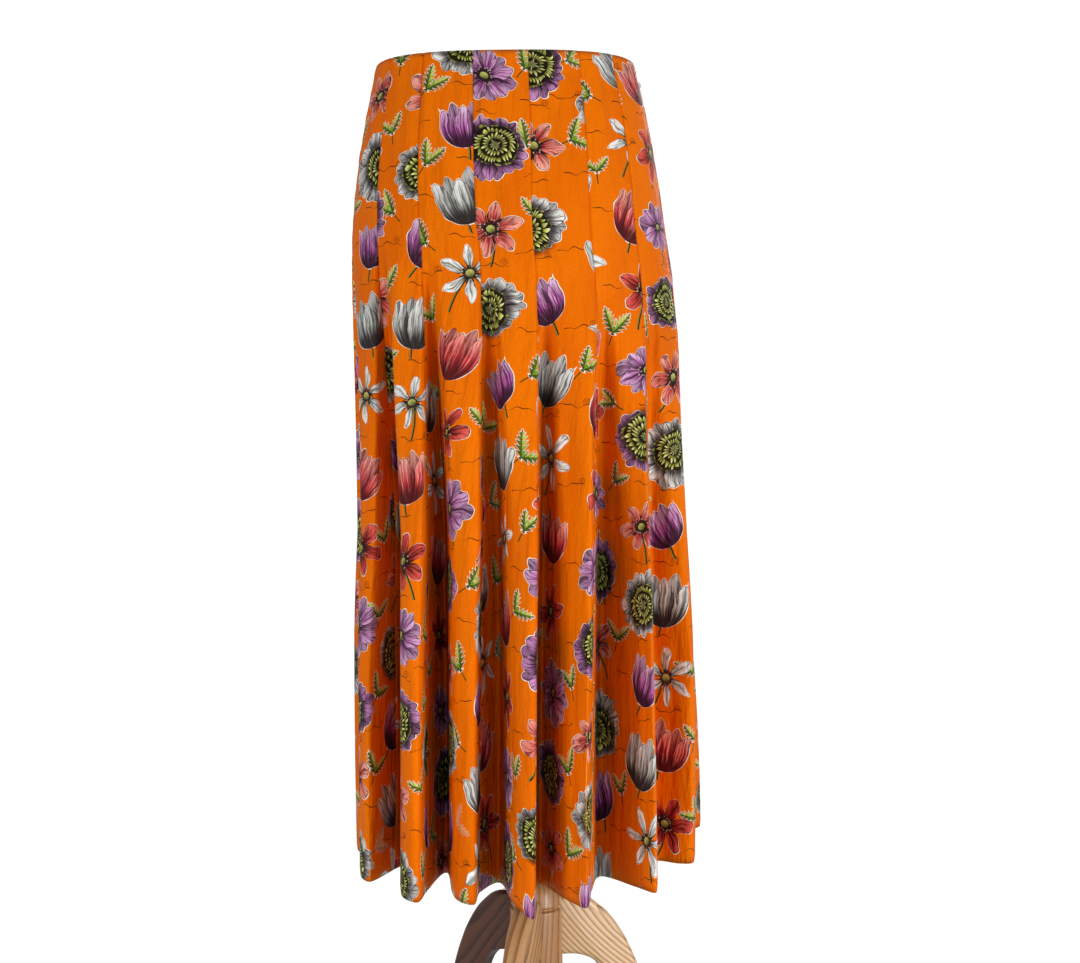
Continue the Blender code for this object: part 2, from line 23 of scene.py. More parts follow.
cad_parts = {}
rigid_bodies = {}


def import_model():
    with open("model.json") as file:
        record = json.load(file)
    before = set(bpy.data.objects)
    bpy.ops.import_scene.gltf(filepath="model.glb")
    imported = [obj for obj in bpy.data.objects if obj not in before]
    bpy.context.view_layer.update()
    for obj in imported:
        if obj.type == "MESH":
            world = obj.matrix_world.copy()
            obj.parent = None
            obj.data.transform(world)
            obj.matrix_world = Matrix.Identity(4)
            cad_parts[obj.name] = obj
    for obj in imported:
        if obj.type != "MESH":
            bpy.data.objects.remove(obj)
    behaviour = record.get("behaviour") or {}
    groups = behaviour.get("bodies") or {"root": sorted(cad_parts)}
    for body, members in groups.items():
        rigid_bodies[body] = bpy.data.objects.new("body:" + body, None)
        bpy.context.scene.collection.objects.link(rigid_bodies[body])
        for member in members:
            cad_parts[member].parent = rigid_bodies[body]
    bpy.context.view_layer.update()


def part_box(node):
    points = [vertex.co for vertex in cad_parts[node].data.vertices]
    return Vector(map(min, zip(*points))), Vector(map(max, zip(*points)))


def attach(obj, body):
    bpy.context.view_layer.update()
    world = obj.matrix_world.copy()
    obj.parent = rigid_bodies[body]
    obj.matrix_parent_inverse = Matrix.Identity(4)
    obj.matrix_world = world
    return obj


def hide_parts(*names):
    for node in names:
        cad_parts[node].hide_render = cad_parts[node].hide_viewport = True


LOG = logging.getLogger("skirt")
MM = 0.001
MAIN_BODY = "skirt_and_form"
PULL_BODY = "zip_pull"

Number = "float | Wire"


def linear(red: float, green: float, blue: float) -> tuple[float, float, float, float]:
    """Shader colour for display values of 0 to 255."""
    shown = (red, green, blue)
    return (*(((v / 255 + 0.055) / 1.055) ** 2.4 if v > 10 else v / 3294 for v in shown), 1.0)


# ---- shader graphs ---------------------------------------------------------------------------
class Wire:
    """A number or colour in a shader tree, which ordinary sums combine with others."""

    def __init__(self, graph: "Graph", socket: bpy.types.NodeSocket) -> None:
        """Holds an output socket of the graph."""
        self.graph = graph
        self.socket = socket

    def __add__(self, other: Number) -> "Wire":
        """Sum."""
        return self.graph.math("ADD", self, other)

    __radd__ = __add__

    def __sub__(self, other: Number) -> "Wire":
        """Difference."""
        return self.graph.math("SUBTRACT", self, other)

    def __rsub__(self, other: Number) -> "Wire":
        """Difference from a plain number."""
        return self.graph.math("SUBTRACT", other, self)

    def __mul__(self, other: Number) -> "Wire":
        """Product."""
        return self.graph.math("MULTIPLY", self, other)

    __rmul__ = __mul__

    def __truediv__(self, other: Number) -> "Wire":
        """Quotient."""
        return self.graph.math("DIVIDE", self, other)

    def floor(self) -> "Wire":
        """Whole part."""
        return self.graph.math("FLOOR", self)

    def fract(self) -> "Wire":
        """Part after the point."""
        return self.graph.math("FRACT", self)

    def size(self) -> "Wire":
        """Value without its sign."""
        return self.graph.math("ABSOLUTE", self)

    def sine(self) -> "Wire":
        """Sine, in radians."""
        return self.graph.math("SINE", self)

    def cosine(self) -> "Wire":
        """Cosine, in radians."""
        return self.graph.math("COSINE", self)

    def power(self, exponent: Number) -> "Wire":
        """Power of a value that isn't negative."""
        return self.graph.math("POWER", self, exponent)

    def least(self, other: Number) -> "Wire":
        """Smaller of two."""
        return self.graph.math("MINIMUM", self, other)

    def most(self, other: Number) -> "Wire":
        """Larger of two."""
        return self.graph.math("MAXIMUM", self, other)

    def rise(self, low: float, high: float) -> "Wire":
        """Smooth step from 0 at low to 1 at high. A high under low makes it fall."""
        return self.graph.ramp_between(self, low, high)


class Graph:
    """One material's node tree and the few node kinds that these finishes use."""

    def __init__(self, name: str) -> None:
        """Starts a material with a Principled shader.

        Args:
            name: the material's name.
        """
        self.material = bpy.data.materials.new(name)
        self.material.use_nodes = True
        self.tree = self.material.node_tree
        self.shader = self.tree.nodes["Principled BSDF"]

    def put(self, socket: bpy.types.NodeSocket, value: object) -> None:
        """Links a wire to a socket, or sets a plain value on it."""
        if isinstance(value, Wire):
            self.tree.links.new(value.socket, socket)
        else:
            socket.default_value = value

    def node(
        self, kind: str, inputs: dict[object, object] | None = None, **settings: object
    ) -> bpy.types.Node:
        """Adds a node.

        Args:
            kind: Blender's name of the node class, after ShaderNode.
            inputs: values or wires by socket name or number.
            settings: the node's own properties.

        Returns:
            The new node.
        """
        made = self.tree.nodes.new("ShaderNode" + kind)
        for key, value in settings.items():
            setattr(made, key, value)
        for key, value in (inputs or {}).items():
            self.put(made.inputs[key], value)
        return made

    def math(self, operation: str, *terms: Number) -> Wire:
        """One sum of one to three terms."""
        return Wire(self, self.node("Math", dict(enumerate(terms)), operation=operation).outputs[0])

    def ramp_between(self, value: Wire, low: float, high: float) -> Wire:
        """Smooth step between two values."""
        flip = high < low
        inputs = {"Value": value, "From Min": min(low, high), "From Max": max(low, high)}
        inputs |= {"To Min": 1.0 if flip else 0.0, "To Max": 0.0 if flip else 1.0}
        return Wire(self, self.node("MapRange", inputs, interpolation_type="SMOOTHSTEP").outputs[0])

    def point(self, x: Number, y: Number, z: Number = 0.0) -> Wire:
        """Vector of three numbers."""
        return Wire(self, self.node("CombineXYZ", {0: x, 1: y, 2: z}).outputs[0])

    def parts(self, vector: Wire) -> tuple[Wire, Wire, Wire]:
        """The three numbers of a vector or colour."""
        outputs = self.node("SeparateXYZ", {0: vector}).outputs
        return Wire(self, outputs[0]), Wire(self, outputs[1]), Wire(self, outputs[2])

    def stretched(self, vector: Wire, scale: tuple[float, float, float]) -> Wire:
        """Vector stretched along its axes."""
        return Wire(self, self.node("Mapping", {"Vector": vector, "Scale": scale}).outputs[0])

    def noise(self, vector: Wire, scale: float, detail: float = 2.0, rough: float = 0.5) -> Wire:
        """Smooth noise, around 0.5."""
        inputs = {"Vector": vector, "Scale": scale, "Detail": detail, "Roughness": rough}
        return Wire(self, self.node("TexNoise", inputs).outputs["Fac"])

    def draw(self, x: Number, y: Number, seed: Number = 0.0) -> tuple[Wire, Wire, Wire]:
        """Three even random numbers that belong to a cell."""
        drawn = self.node("TexWhiteNoise", {"Vector": self.point(x, y, seed)})
        return self.parts(Wire(self, drawn.outputs["Color"]))

    def blend(self, share: Number, first: object, second: object, mode: str = "MIX") -> Wire:
        """Colour between two, or made from two by a blend mode."""
        made = self.node("Mix", None, data_type="RGBA", blend_type=mode)
        for key, value in ((0, share), (6, first), (7, second)):
            self.put(made.inputs[key], value)
        return Wire(self, made.outputs[2])

    def coats(self, base: object, *layers: tuple[Number, object]) -> Wire:
        """Colour with others laid over it in turn, each by its share."""
        for share, paint in layers:
            base = self.blend(share, base, paint)
        return base

    def lerp(self, share: Number, first: Number, second: Number) -> Wire:
        """Number between two."""
        made = self.node("Mix", None, data_type="FLOAT")
        for key, value in ((0, share), (2, first), (3, second)):
            self.put(made.inputs[key], value)
        return Wire(self, made.outputs[0])

    def choice(self, share: Wire, rows: Sequence[Sequence[float]]) -> Wire:
        """Colour of a row, picked by a share from 0 to 1."""
        made = self.node("ValToRGB", {0: share})
        ramp = made.color_ramp
        ramp.interpolation = "CONSTANT"
        while len(ramp.elements) < len(rows):
            ramp.elements.new(1.0)
        for i, row in enumerate(rows):
            ramp.elements[i].position = i / len(rows)
            ramp.elements[i].color = (*row[:3], 1.0)
        return Wire(self, made.outputs[0])

    def shades(self, value: Wire, stops: Sequence[tuple[float, tuple[float, ...]]]) -> Wire:
        """Colour that runs smoothly through stops."""
        made = self.node("ValToRGB", {0: value})
        ramp = made.color_ramp
        while len(ramp.elements) < len(stops):
            ramp.elements.new(1.0)
        for element, (place, colour) in zip(ramp.elements, stops):
            element.position = place
            element.color = colour
        return Wire(self, made.outputs[0])

    def bump(self, height: Wire, distance: float, strength: float = 1.0) -> Wire:
        """Normal bent by a height."""
        inputs = {"Height": height, "Distance": distance, "Strength": strength}
        return Wire(self, self.node("Bump", inputs).outputs[0])

    def finish(self, **sockets: object) -> bpy.types.Material:
        """Sets the shader's sockets, spaces written as underscores, and gives the material."""
        for key, value in sockets.items():
            self.put(self.shader.inputs[key.replace("_", " ")], value)
        return self.material


# ---- the print ---------------------------------------------------------------------------------
@dataclass(frozen=True)
class Blossom:
    """One flower of the print. Lengths in cm, colours as displayed."""

    petals: int
    reach: float
    cleft: float
    roundness: float
    width: float
    cup: bool
    rayed: bool
    stem: float
    dark: tuple[int, int, int]
    middle: tuple[int, int, int]
    light: tuple[int, int, int]


BLOSSOMS = (
    Blossom(6, 3.00, 0.46, 1.7, 0.92, False, False, 3.6, (58, 20, 58), (164, 86, 150), (222, 176, 212)),
    Blossom(3, 3.05, 0.40, 1.5, 1.00, True, False, 3.4, (52, 56, 56), (186, 188, 182), (240, 240, 236)),
    Blossom(9, 3.30, 0.30, 1.8, 1.00, False, True, 0.0, (38, 14, 40), (122, 62, 120), (204, 146, 194)),
    Blossom(6, 3.15, 0.60, 1.6, 0.66, False, False, 3.8, (104, 108, 92), (208, 210, 206), (246, 245, 242)),
    Blossom(6, 2.95, 0.48, 1.6, 0.90, False, False, 3.6, (96, 14, 24), (206, 66, 66), (246, 168, 148)),
    Blossom(3, 2.90, 0.44, 1.4, 1.00, True, False, 3.4, (122, 14, 30), (220, 72, 78), (248, 184, 166)),
    Blossom(8, 3.35, 0.32, 1.8, 1.00, False, True, 0.0, (44, 42, 46), (150, 148, 146), (238, 236, 230)),
    Blossom(6, 3.10, 0.50, 1.9, 0.84, False, False, 4.0, (30, 6, 10), (146, 26, 30), (236, 96, 84)),
    Blossom(3, 2.60, 0.48, 1.4, 1.00, True, False, 3.4, (74, 18, 70), (176, 84, 160), (236, 196, 226)),
)
STEP_DOWN = 2  # which blossom comes next, down a column and along a row
STEP_ALONG = 4


@dataclass
class Petals:
    """Where a point lies on the petal under it: along it, across it, and how far inside its edge."""

    edge: Wire
    along: Wire
    across: Wire
    tone: Wire
    streak: Wire


@dataclass(frozen=True)
class FloralPrint:
    """Printed viscose: scattered garden flowers, leaf pairs and fine tendrils on orange.

    The pattern reads the panel's own flat map, in metres, so it lies in the cloth and breaks at
    every seam. Colours repeat in no fixed picture: each cell draws its flower from BLOSSOMS.
    """

    column: float = 7.6
    row: float = 7.0
    ground: tuple[int, int, int] = (227, 109, 0)
    ink: tuple[int, int, int] = (30, 20, 26)
    rim: tuple[int, int, int] = (236, 226, 214)
    line: float = 0.075

    @staticmethod
    def cell(g: Graph, x: Wire, y: Wire, wide: float, high: float, seed: float) -> tuple[Wire, ...]:
        """Local place in a cell, in cm, y up, with the cell's numbers and three draws."""
        column = (x / wide).floor()
        down = y / high + (column * 0.5).fract() * 1.04 + column * 0.11
        row = down.floor()
        one, two, three = g.draw(column, row, seed)
        across = ((x / wide).fract() - 0.5) * wide
        up = (0.5 - down.fract()) * high
        return across, up, column, row, one, two, three

    @staticmethod
    def turned(x: Wire, y: Wire, angle: Wire) -> tuple[Wire, Wire]:
        """Place turned by an angle."""
        c, s = angle.cosine(), angle.sine()
        return x * c + y * s, y * c - x * s

    @staticmethod
    def ring(
        g: Graph, angle: Wire, radius: Wire, count: Number, reach: Number, cleft: Number,
        roundness: Number, width: Number, phase: Number, seed: Number,
    ) -> Petals:
        """Petals round a middle.

        Args:
            g: the graph.
            angle: direction from the middle, in radians.
            radius: distance from the middle, in cm.
            count: number of petals.
            reach: length of a petal.
            cleft: how far its rim falls back at its sides, as a share of reach.
            roundness: power of that fall.
            width: share of its sector that a petal fills.
            phase: turn of the ring, in petals.
            seed: number that its draws belong to.

        Returns:
            The petal under the point.
        """
        turn = angle * count * (0.5 / math.pi) + phase
        number = g.math("ROUND", turn)
        across = turn - number
        who = g.math("FLOORED_MODULO", number, count)
        tone, longer, shift = g.draw(who, seed, 3.0)
        side = across.size() * 2.0 / width
        tip = (longer * 0.14 + 0.9) * reach * (1.0 - side.power(roundness) * cleft)
        flank = (1.0 - side) * radius * width * math.pi / count
        along = radius / tip
        streak = g.noise(g.point(across * 11.0 + who * 5.3, along * 1.3, shift * 9.0), 1.0, 3.0, 0.65)
        return Petals((tip - radius).least(flank), along, across, tone, streak)

    @staticmethod
    def cup(g: Graph, x: Wire, y: Wire, reach: Wire, seed: Wire, behind: bool) -> Petals:
        """Upright cup seen from the side, its foot below the cell's middle.

        Args:
            g: the graph.
            x: place to the right of the middle, in cm.
            y: place above the middle, in cm.
            reach: half the cup's height, nearly.
            seed: number that its draws belong to.
            behind: true for the petals that show between the front ones.

        Returns:
            The petal under the point.
        """
        high = reach * 1.62
        up = y + reach * 0.84
        belly = (up / (high * 0.56)).most(0.0).least(1.0)
        flare = (up / high - 0.56).most(0.0)
        bulge = (1.0 - (1.0 - belly) * (1.0 - belly)).most(0.0001).power(0.5)
        half = bulge * reach * (0.80 if behind else 0.86)
        half = half + (flare * flare * 1.1 - flare * 0.34) * reach
        place = x / half.most(0.05)
        turn = place * 1.22 + (0.5 if behind else 0.0)
        number = g.math("ROUND", turn)
        across = turn - number
        tone, longer, shift = g.draw(number, seed, 8.5 if behind else 8.0)
        side = across.size() * 2.0
        top = high * (longer * 0.12 + (0.94 if behind else 0.84)) * (1.0 - side.power(1.5) * 0.34)
        edge = (top - up).least((1.0 - place.size()) * half).least(up)
        flank = (0.5 - across.size()) * half * 0.8 + 0.02
        along = (up / high).most(0.0)
        streak = g.noise(g.point(across * 10.0 + number * 4.1, along * 1.6, shift * 9.0), 1.0, 3.0, 0.65)
        return Petals(edge.least(flank + up.rise(0.9, 0.2)), along, across, tone, streak)

    def painted(self, g: Graph, petals: Petals, colours: tuple[Wire, Wire, Wire], shade: float) -> Wire:
        """Colour of a petal: dark throat, engraved lines, one side in the next petal's shade."""
        dark, middle, light = colours
        along, across, tone, streak = petals.along, petals.across, petals.tone, petals.streak
        deepest = g.blend(0.72, dark, linear(*self.ink))
        hatch = (across * 36.0 + streak * 13.0).sine()
        colour = g.coats(
            dark,
            (along.rise(0.14, 0.50), middle),
            (along.rise(0.36, 0.95) * (tone * 0.5 + 0.5), light),
            (streak.rise(0.46, 0.33) * 0.75, light),
            (streak.rise(0.50, 0.60) * 0.80, dark),
            (hatch.rise(0.35, 0.95) * along.rise(1.0, 0.25) * 0.80, deepest),
            (along.rise(0.44, 0.10) * 0.85, deepest),
            (across.rise(0.05, 0.48) * (tone * 0.5 + 0.45), deepest),
            (across.size().rise(0.035, 0.010) * along.rise(1.1, 0.5) * 0.8, deepest),
            (petals.edge.rise(self.line * 1.25, self.line * 0.5), linear(*self.ink)),
        )
        return g.blend(shade, colour, deepest) if shade else colour

    def flowers(self, g: Graph, x: Wire, y: Wire, under: Wire) -> Wire:
        """Lays the flowers over what is under them."""
        px, py, column, row, one, two, three = self.cell(g, x, y, self.column, self.row, 1.0)
        count = len(BLOSSOMS)
        which = g.math("FLOORED_MODULO", column * STEP_ALONG + row * STEP_DOWN, float(count))
        pick = (which + 0.5) / count
        petals, reach, cleft = g.parts(
            g.choice(pick, [(b.petals / 16, b.reach / 4, b.cleft) for b in BLOSSOMS])
        )
        round_, width, stem = g.parts(
            g.choice(pick, [(b.roundness / 4, b.width, b.stem / 5) for b in BLOSSOMS])
        )
        is_cup, is_rayed, has_back = g.parts(
            g.choice(pick, [(float(b.cup), float(b.rayed), float(b.width > 0.9)) for b in BLOSSOMS])
        )
        colours = tuple(
            g.choice(pick, [linear(*getattr(b, name)) for b in BLOSSOMS])
            for name in ("dark", "middle", "light")
        )
        petals, reach, stem = petals * 16.0, reach * 4.0, stem * 5.0
        px = px + (one - 0.5) * 0.9
        py = py + (two - 0.5) * 0.5
        px, py = self.turned(px, py, (three - 0.5) * 1.2)
        warp = g.node("TexNoise", {"Vector": g.point(x, y), "Scale": 0.55, "Detail": 1.0})
        wave, sway, _ = g.parts(Wire(g, warp.outputs["Color"]))
        squash = one * 0.42 + 1.0
        radius = (px * px + py * py * squash * squash).power(0.5) * (0.86 + sway * 0.28)
        angle = g.math("ARCTAN2", py, px) + (wave - 0.5) * 0.5
        name = column * 3.7 + row * 1.3
        front = self.ring(g, angle, radius, petals, reach, cleft, round_ * 4.0, width, two, name)
        back = self.ring(
            g, angle, radius, petals, reach * 1.03, cleft + 0.04, 1.9, 0.9, two + 0.5, name + 0.4
        )
        leaning = px + (wave - 0.5) * 0.4
        front = self.picked(g, is_cup, front, self.cup(g, leaning, py, reach, name, False))
        back = self.picked(g, is_cup, back, self.cup(g, leaning, py, reach, name, True))
        back_edge = back.edge * has_back - (1.0 - has_back)

        bend = px - (py * 0.7 + two * 4.0).sine() * 0.34
        stalk = (0.105 - bend.size()).least(py + stem).least(0.0 - py)
        on_stalk = (stalk + 0.02).rise(0.0, 0.03)
        both = front.edge.most(back_edge)
        halo = (wave - 0.5) * 0.34 + both
        inner = (radius / reach).rise(0.66, 0.46) * (1.0 - is_cup)
        rim = g.blend(inner, linear(*self.rim), linear(*self.ink))
        colour = g.coats(
            under,
            (on_stalk, linear(128, 142, 66)),
            ((stalk + bend * 0.8).rise(0.02, 0.09) * on_stalk, linear(26, 34, 18)),
            ((stalk + 0.02).rise(0.0, 0.02) * stalk.rise(0.02, 0.0), linear(26, 26, 18)),
            (halo.rise(-0.075, -0.045) * both.rise(-0.10, -0.08), rim),
            (back_edge.rise(0.0, 0.02), self.painted(g, back, colours, 0.42)),
            (front.edge.rise(0.0, 0.02), self.painted(g, front, colours, 0.0)),
        )
        colour = self.button(g, colour, angle, radius, px, py, name, (1.0 - is_cup) * (1.0 - is_rayed))
        eye_x, eye_y = px + (one - 0.5) * 1.1, py * 1.10 + (two - 0.5) * 1.1
        eye = (eye_x * eye_x + eye_y * eye_y).power(0.5) * (0.80 + sway * 0.40)
        eye_turn = g.math("ARCTAN2", eye_y, eye_x) + (wave - 0.5) * 1.2
        return self.rays(g, colour, eye_turn, eye, reach, name, is_rayed)

    @staticmethod
    def picked(g: Graph, share: Wire, first: Petals, second: Petals) -> Petals:
        """The first petals where the share is 0, the second where it is 1."""
        parts = Petals.__annotations__
        return Petals(*(g.lerp(share, getattr(first, part), getattr(second, part)) for part in parts))

    @staticmethod
    def button(
        g: Graph, under: Wire, angle: Wire, radius: Wire, px: Wire, py: Wire, name: Wire, share: Wire
    ) -> Wire:
        """Green middle with dark stamens round it."""
        turn = angle * (25.0 * 0.5 / math.pi)
        number = g.math("ROUND", turn)
        longer, _, tint = g.draw(g.math("FLOORED_MODULO", number, 25.0), name, 5.0)
        across = (turn - number).size()
        hair = across.rise(0.34, 0.18) * (longer * 0.45 + 0.62 - radius).rise(0.0, 0.05)
        dot = (radius - (longer * 0.45 + 0.60)).size().rise(0.09, 0.04) * across.rise(0.40, 0.22)
        knob = (0.42 - radius).rise(0.0, 0.04) * share
        light = (py - px * 0.6 + 0.1).rise(-0.45, 0.45)
        grain = g.noise(g.point(px, py), 9.0, 1.0)
        return g.coats(
            under,
            (radius.rise(0.95, 0.30) * 0.75 * share, linear(34, 24, 34)),
            (hair * share, linear(22, 18, 24)),
            (dot * tint.rise(0.3, 0.5) * share * 0.8, linear(190, 176, 150)),
            (knob, g.blend(light, linear(58, 66, 22), linear(186, 188, 104))),
            (knob * grain.rise(0.5, 0.62) * 0.6, linear(40, 44, 18)),
        )

    @staticmethod
    def rays(
        g: Graph, under: Wire, angle: Wire, radius: Wire, reach: Wire, name: Wire, share: Wire
    ) -> Wire:
        """Rows of short yellow-green florets that fill the middle of a double flower."""
        deep = radius / reach * 4.9
        row = deep.floor()
        count = row * 9.0 + 11.0
        turn = angle * count * (0.5 / math.pi) + row * 0.5
        number = g.math("ROUND", turn)
        tone, longer, _ = g.draw(g.math("FLOORED_MODULO", number, count), name + row, 7.0)
        across = (turn - number).size() * 2.0
        inside = deep.fract()
        tip = (1.0 - across.power(1.4) * 0.85) * (longer * 0.5 + 0.6)
        scale = (tip - inside).rise(0.0, 0.10) * across.rise(0.92, 0.60)
        tips = (
            (0.0, linear(24, 28, 14)), (0.25, linear(126, 132, 50)), (0.6, linear(216, 216, 126)),
            (1.0, linear(246, 244, 206)),
        )
        body = g.coats(
            g.shades(inside * 0.75 + tone * 0.25, tips),
            ((deep / 3.4).rise(0.50, 0.15) * 0.60, linear(104, 104, 84)),
            (tone.rise(0.62, 0.9) * 0.35, linear(88, 104, 40)),
        )
        disc = (3.42 - deep - longer * 0.50).rise(0.0, 0.10) * share
        shadow = (4.4 - deep).rise(0.0, 1.2) * share * 0.85
        return g.coats(
            under, (shadow, linear(26, 14, 26)), (disc, g.blend(scale, linear(20, 20, 16), body))
        )

    def leaves(self, g: Graph, x: Wire, y: Wire, under: Wire) -> Wire:
        """Pairs of toothed leaves in the gaps between the flowers."""
        half_column, half_row = self.column * 0.5, self.row * 0.5
        cell = self.cell(g, x + half_column, y + half_row, self.column, self.row, 2.0)
        px, py, _, _, one, two, three = cell
        px, py = self.turned(px + (one - 0.5) * 0.8, py + (two - 0.5) * 0.8, three * 3.2 - 0.4)
        spread = one * 0.5 + 0.35
        cosine, sine = spread.cosine(), spread.sine()
        side = py.size()
        along = px * cosine + side * sine + 0.25
        across = side * cosine - px * sine
        length = two * 0.7 + 2.1
        place = (along / length).most(0.0).least(1.0)
        teeth = ((along * 2.3 - across.size() * 1.9).fract() - 0.5).size() * 1.5 + 0.28
        half = (place * (1.0 - place) * 4.0).most(0.0001).power(0.7) * teeth * length * 0.23
        edge = (half - across.size()).least(along).least(length - along)
        shown = three.rise(0.24, 0.25)
        stalk = (0.055 - (py + (px * 1.4).sine() * 0.08).size()).least(px + 1.15).least(0.2 - px)
        vein = ((along * 2.3 - across.size() * 2.6).fract() - 0.5).size().rise(0.36, 0.47)
        leaf = g.coats(
            linear(112, 146, 36),
            (place.rise(0.1, 0.9), linear(206, 216, 98)),
            (across.rise(-0.02, 0.04) * 0.8, linear(44, 64, 22)),
            (vein * 0.6, linear(20, 28, 12)),
            (across.size().rise(0.06, 0.02) * 0.7, linear(18, 24, 12)),
            (edge.rise(self.line, self.line * 0.4) * 0.75, linear(20, 22, 14)),
        )
        return g.coats(
            under,
            ((stalk + 0.02).rise(0.0, 0.03) * shown, linear(52, 66, 26)),
            (edge.rise(-0.08, -0.05) * shown, linear(*self.rim)),
            (edge.rise(0.0, 0.02) * shown, leaf),
        )

    def tendrils(self, g: Graph, x: Wire, y: Wire, under: Wire) -> Wire:
        """Fine dark curls, as thin as a pen line."""
        colour = under
        for seed, off_x, off_y in ((3.0, 0.0, self.row * 0.5 + 0.15), (4.0, self.column * 0.5, 0.4)):
            cell = self.cell(g, x + off_x, y + off_y, self.column, self.row, seed)
            px, py, one, two = cell[0] + (cell[4] - 0.5) * 1.2, cell[1], cell[5], cell[6]
            rise = (px * (one + 1.4) + two * 6.0).sine() * 0.17 + (px * 5.3 + one * 9.0).sine() * 0.075
            pen = (px * 3.1 + two * 5.0).sine() * 0.011 + 0.030
            line = (pen - (py - rise).size() * 0.75).least(one * 1.1 + 0.65 - px.size())
            cx, cy = px - 1.2, py - 0.28
            radius = (cx * cx + cy * cy).power(0.5)
            coil = (radius / 0.17 - g.math("ARCTAN2", cy, cx) * (0.5 / math.pi)).fract() - 0.5
            curl = (0.028 - coil.size() * 0.17).least(0.36 - radius) - one.rise(0.72, 0.70)
            drawn = line.most(curl).rise(-0.006, 0.012) * one.rise(0.12, 0.13)
            colour = g.blend(drawn * 0.9, colour, linear(62, 22, 8))
        return colour

    def material(self, name: str, wrong_side: bool) -> bpy.types.Material:
        """Makes the cloth's material.

        Args:
            name: the material's name.
            wrong_side: true for the inside, where the print only shows through.

        Returns:
            The material.
        """
        g = Graph(name)
        flat = g.node("UVMap", uv_map="flat_cut").outputs["UV"]
        u, v, _ = g.parts(Wire(g, flat))
        x, y = u * 100.0, v * 100.0
        # Darker orange in long upright patches, laid at random: painted shade of soft folds.
        painted_fold_shade = g.noise(g.point(x, y * 0.3), 0.17, 3.0, 0.6)
        ground = g.blend(painted_fold_shade.rise(0.36, 0.66) * 0.75, linear(*self.ground), linear(214, 94, 0))
        colour = self.tendrils(g, x, y, ground)
        colour = self.leaves(g, x, y, colour)
        colour = self.flowers(g, x, y, colour)
        if wrong_side:
            colour = g.blend(0.62, colour, linear(243, 146, 66))
        warp = (x * (2 * math.pi / 0.055)).sine() * (y * (2 * math.pi / 0.06)).sine()
        slub = g.noise(g.point(x * 6.0, y * 3.5), 1.0, 2.0, 0.6)
        creased = g.noise(g.point(x * 0.62, y * 0.13), 1.0, 3.0, 0.55)
        height = warp * 0.04 + slub * 0.30 + creased * 64.0
        colour = g.blend(slub.rise(0.35, 0.75) * 0.10, colour, linear(120, 40, 6), "MULTIPLY")
        rough = 0.50 + slub * 0.12
        return g.finish(
            Base_Color=colour, Roughness=rough, Normal=g.bump(height, 0.00010), Specular_IOR_Level=0.16,
            Specular_Tint=(1.0, 0.52, 0.16, 1.0),
        )


# ---- other finishes ----------------------------------------------------------------------------
@dataclass(frozen=True)
class Wood:
    """Satin-varnished light wood with broad growth rings and fine dark pores."""

    turn: float = 0.0
    lean: float = 0.0
    centre: tuple[float, float, float] = (0.0, 0.0, 0.0)
    ring: float = 0.0062
    tilt: float = 0.0  # how far the rings shift with height, as a slope
    pale: tuple[int, int, int] = (198, 152, 104)
    deep: tuple[int, int, int] = (120, 74, 40)
    board: tuple[int, int, int] = (158, 106, 62)

    def material(self, name: str) -> bpy.types.Material:
        """Makes the wood, its grain along the piece's own length."""
        g = Graph(name)
        place = Wire(g, g.node("TexCoord").outputs["Object"])
        for move, amount in (
            ("Location", tuple(-c for c in self.centre)),
            ("Rotation", (0.0, 0.0, -self.turn)),
            ("Rotation", (self.lean, 0.0, 0.0)),
        ):
            place = Wire(g, g.node("Mapping", {"Vector": place, move: amount}).outputs[0])
        x, y, z = g.parts(place)
        sway = g.noise(g.point(x * 9.0, y * 9.0, z * 3.0), 1.0, 3.0, 0.5)
        far_x = x + 0.030 + (sway - 0.5) * 0.030 + z * self.tilt
        far_y = y + 0.012 + z * (0.16 if not self.tilt else 0.04)
        radius = (far_x * far_x + far_y * far_y).power(0.5)
        saw = (radius / self.ring + (sway - 0.5) * 2.2).fract()
        late = saw.rise(0.35, 0.93) * saw.rise(1.0, 0.95)
        fibre = g.noise(g.point(x * 900.0, y * 900.0, z * 22.0), 1.0, 2.0, 0.6)
        pores = g.noise(g.point(x * 1500.0, y * 1500.0, z * 60.0), 1.0, 1.0, 0.5).rise(0.66, 0.72)
        board = g.noise(g.point(x * 20.0, y * 20.0, z * 4.0), 1.0, 2.0, 0.5)
        colour = g.coats(
            linear(*self.pale),
            (late * 0.80, linear(*self.deep)),
            ((fibre - 0.5).size() * 0.8, linear(*self.deep)),
            (board.rise(0.42, 0.66) * 0.55, linear(*self.board)),
            (pores * (late * 0.6 + 0.25), linear(66, 38, 20)),
        )
        height = fibre * 0.5 - late * 0.5 - pores * 0.9
        return g.finish(
            Base_Color=colour, Roughness=0.34 + late * 0.10 + pores * 0.2, Normal=g.bump(height, 0.00006),
            Coat_Weight=0.18, Coat_Roughness=0.22, Specular_IOR_Level=0.45,
        )


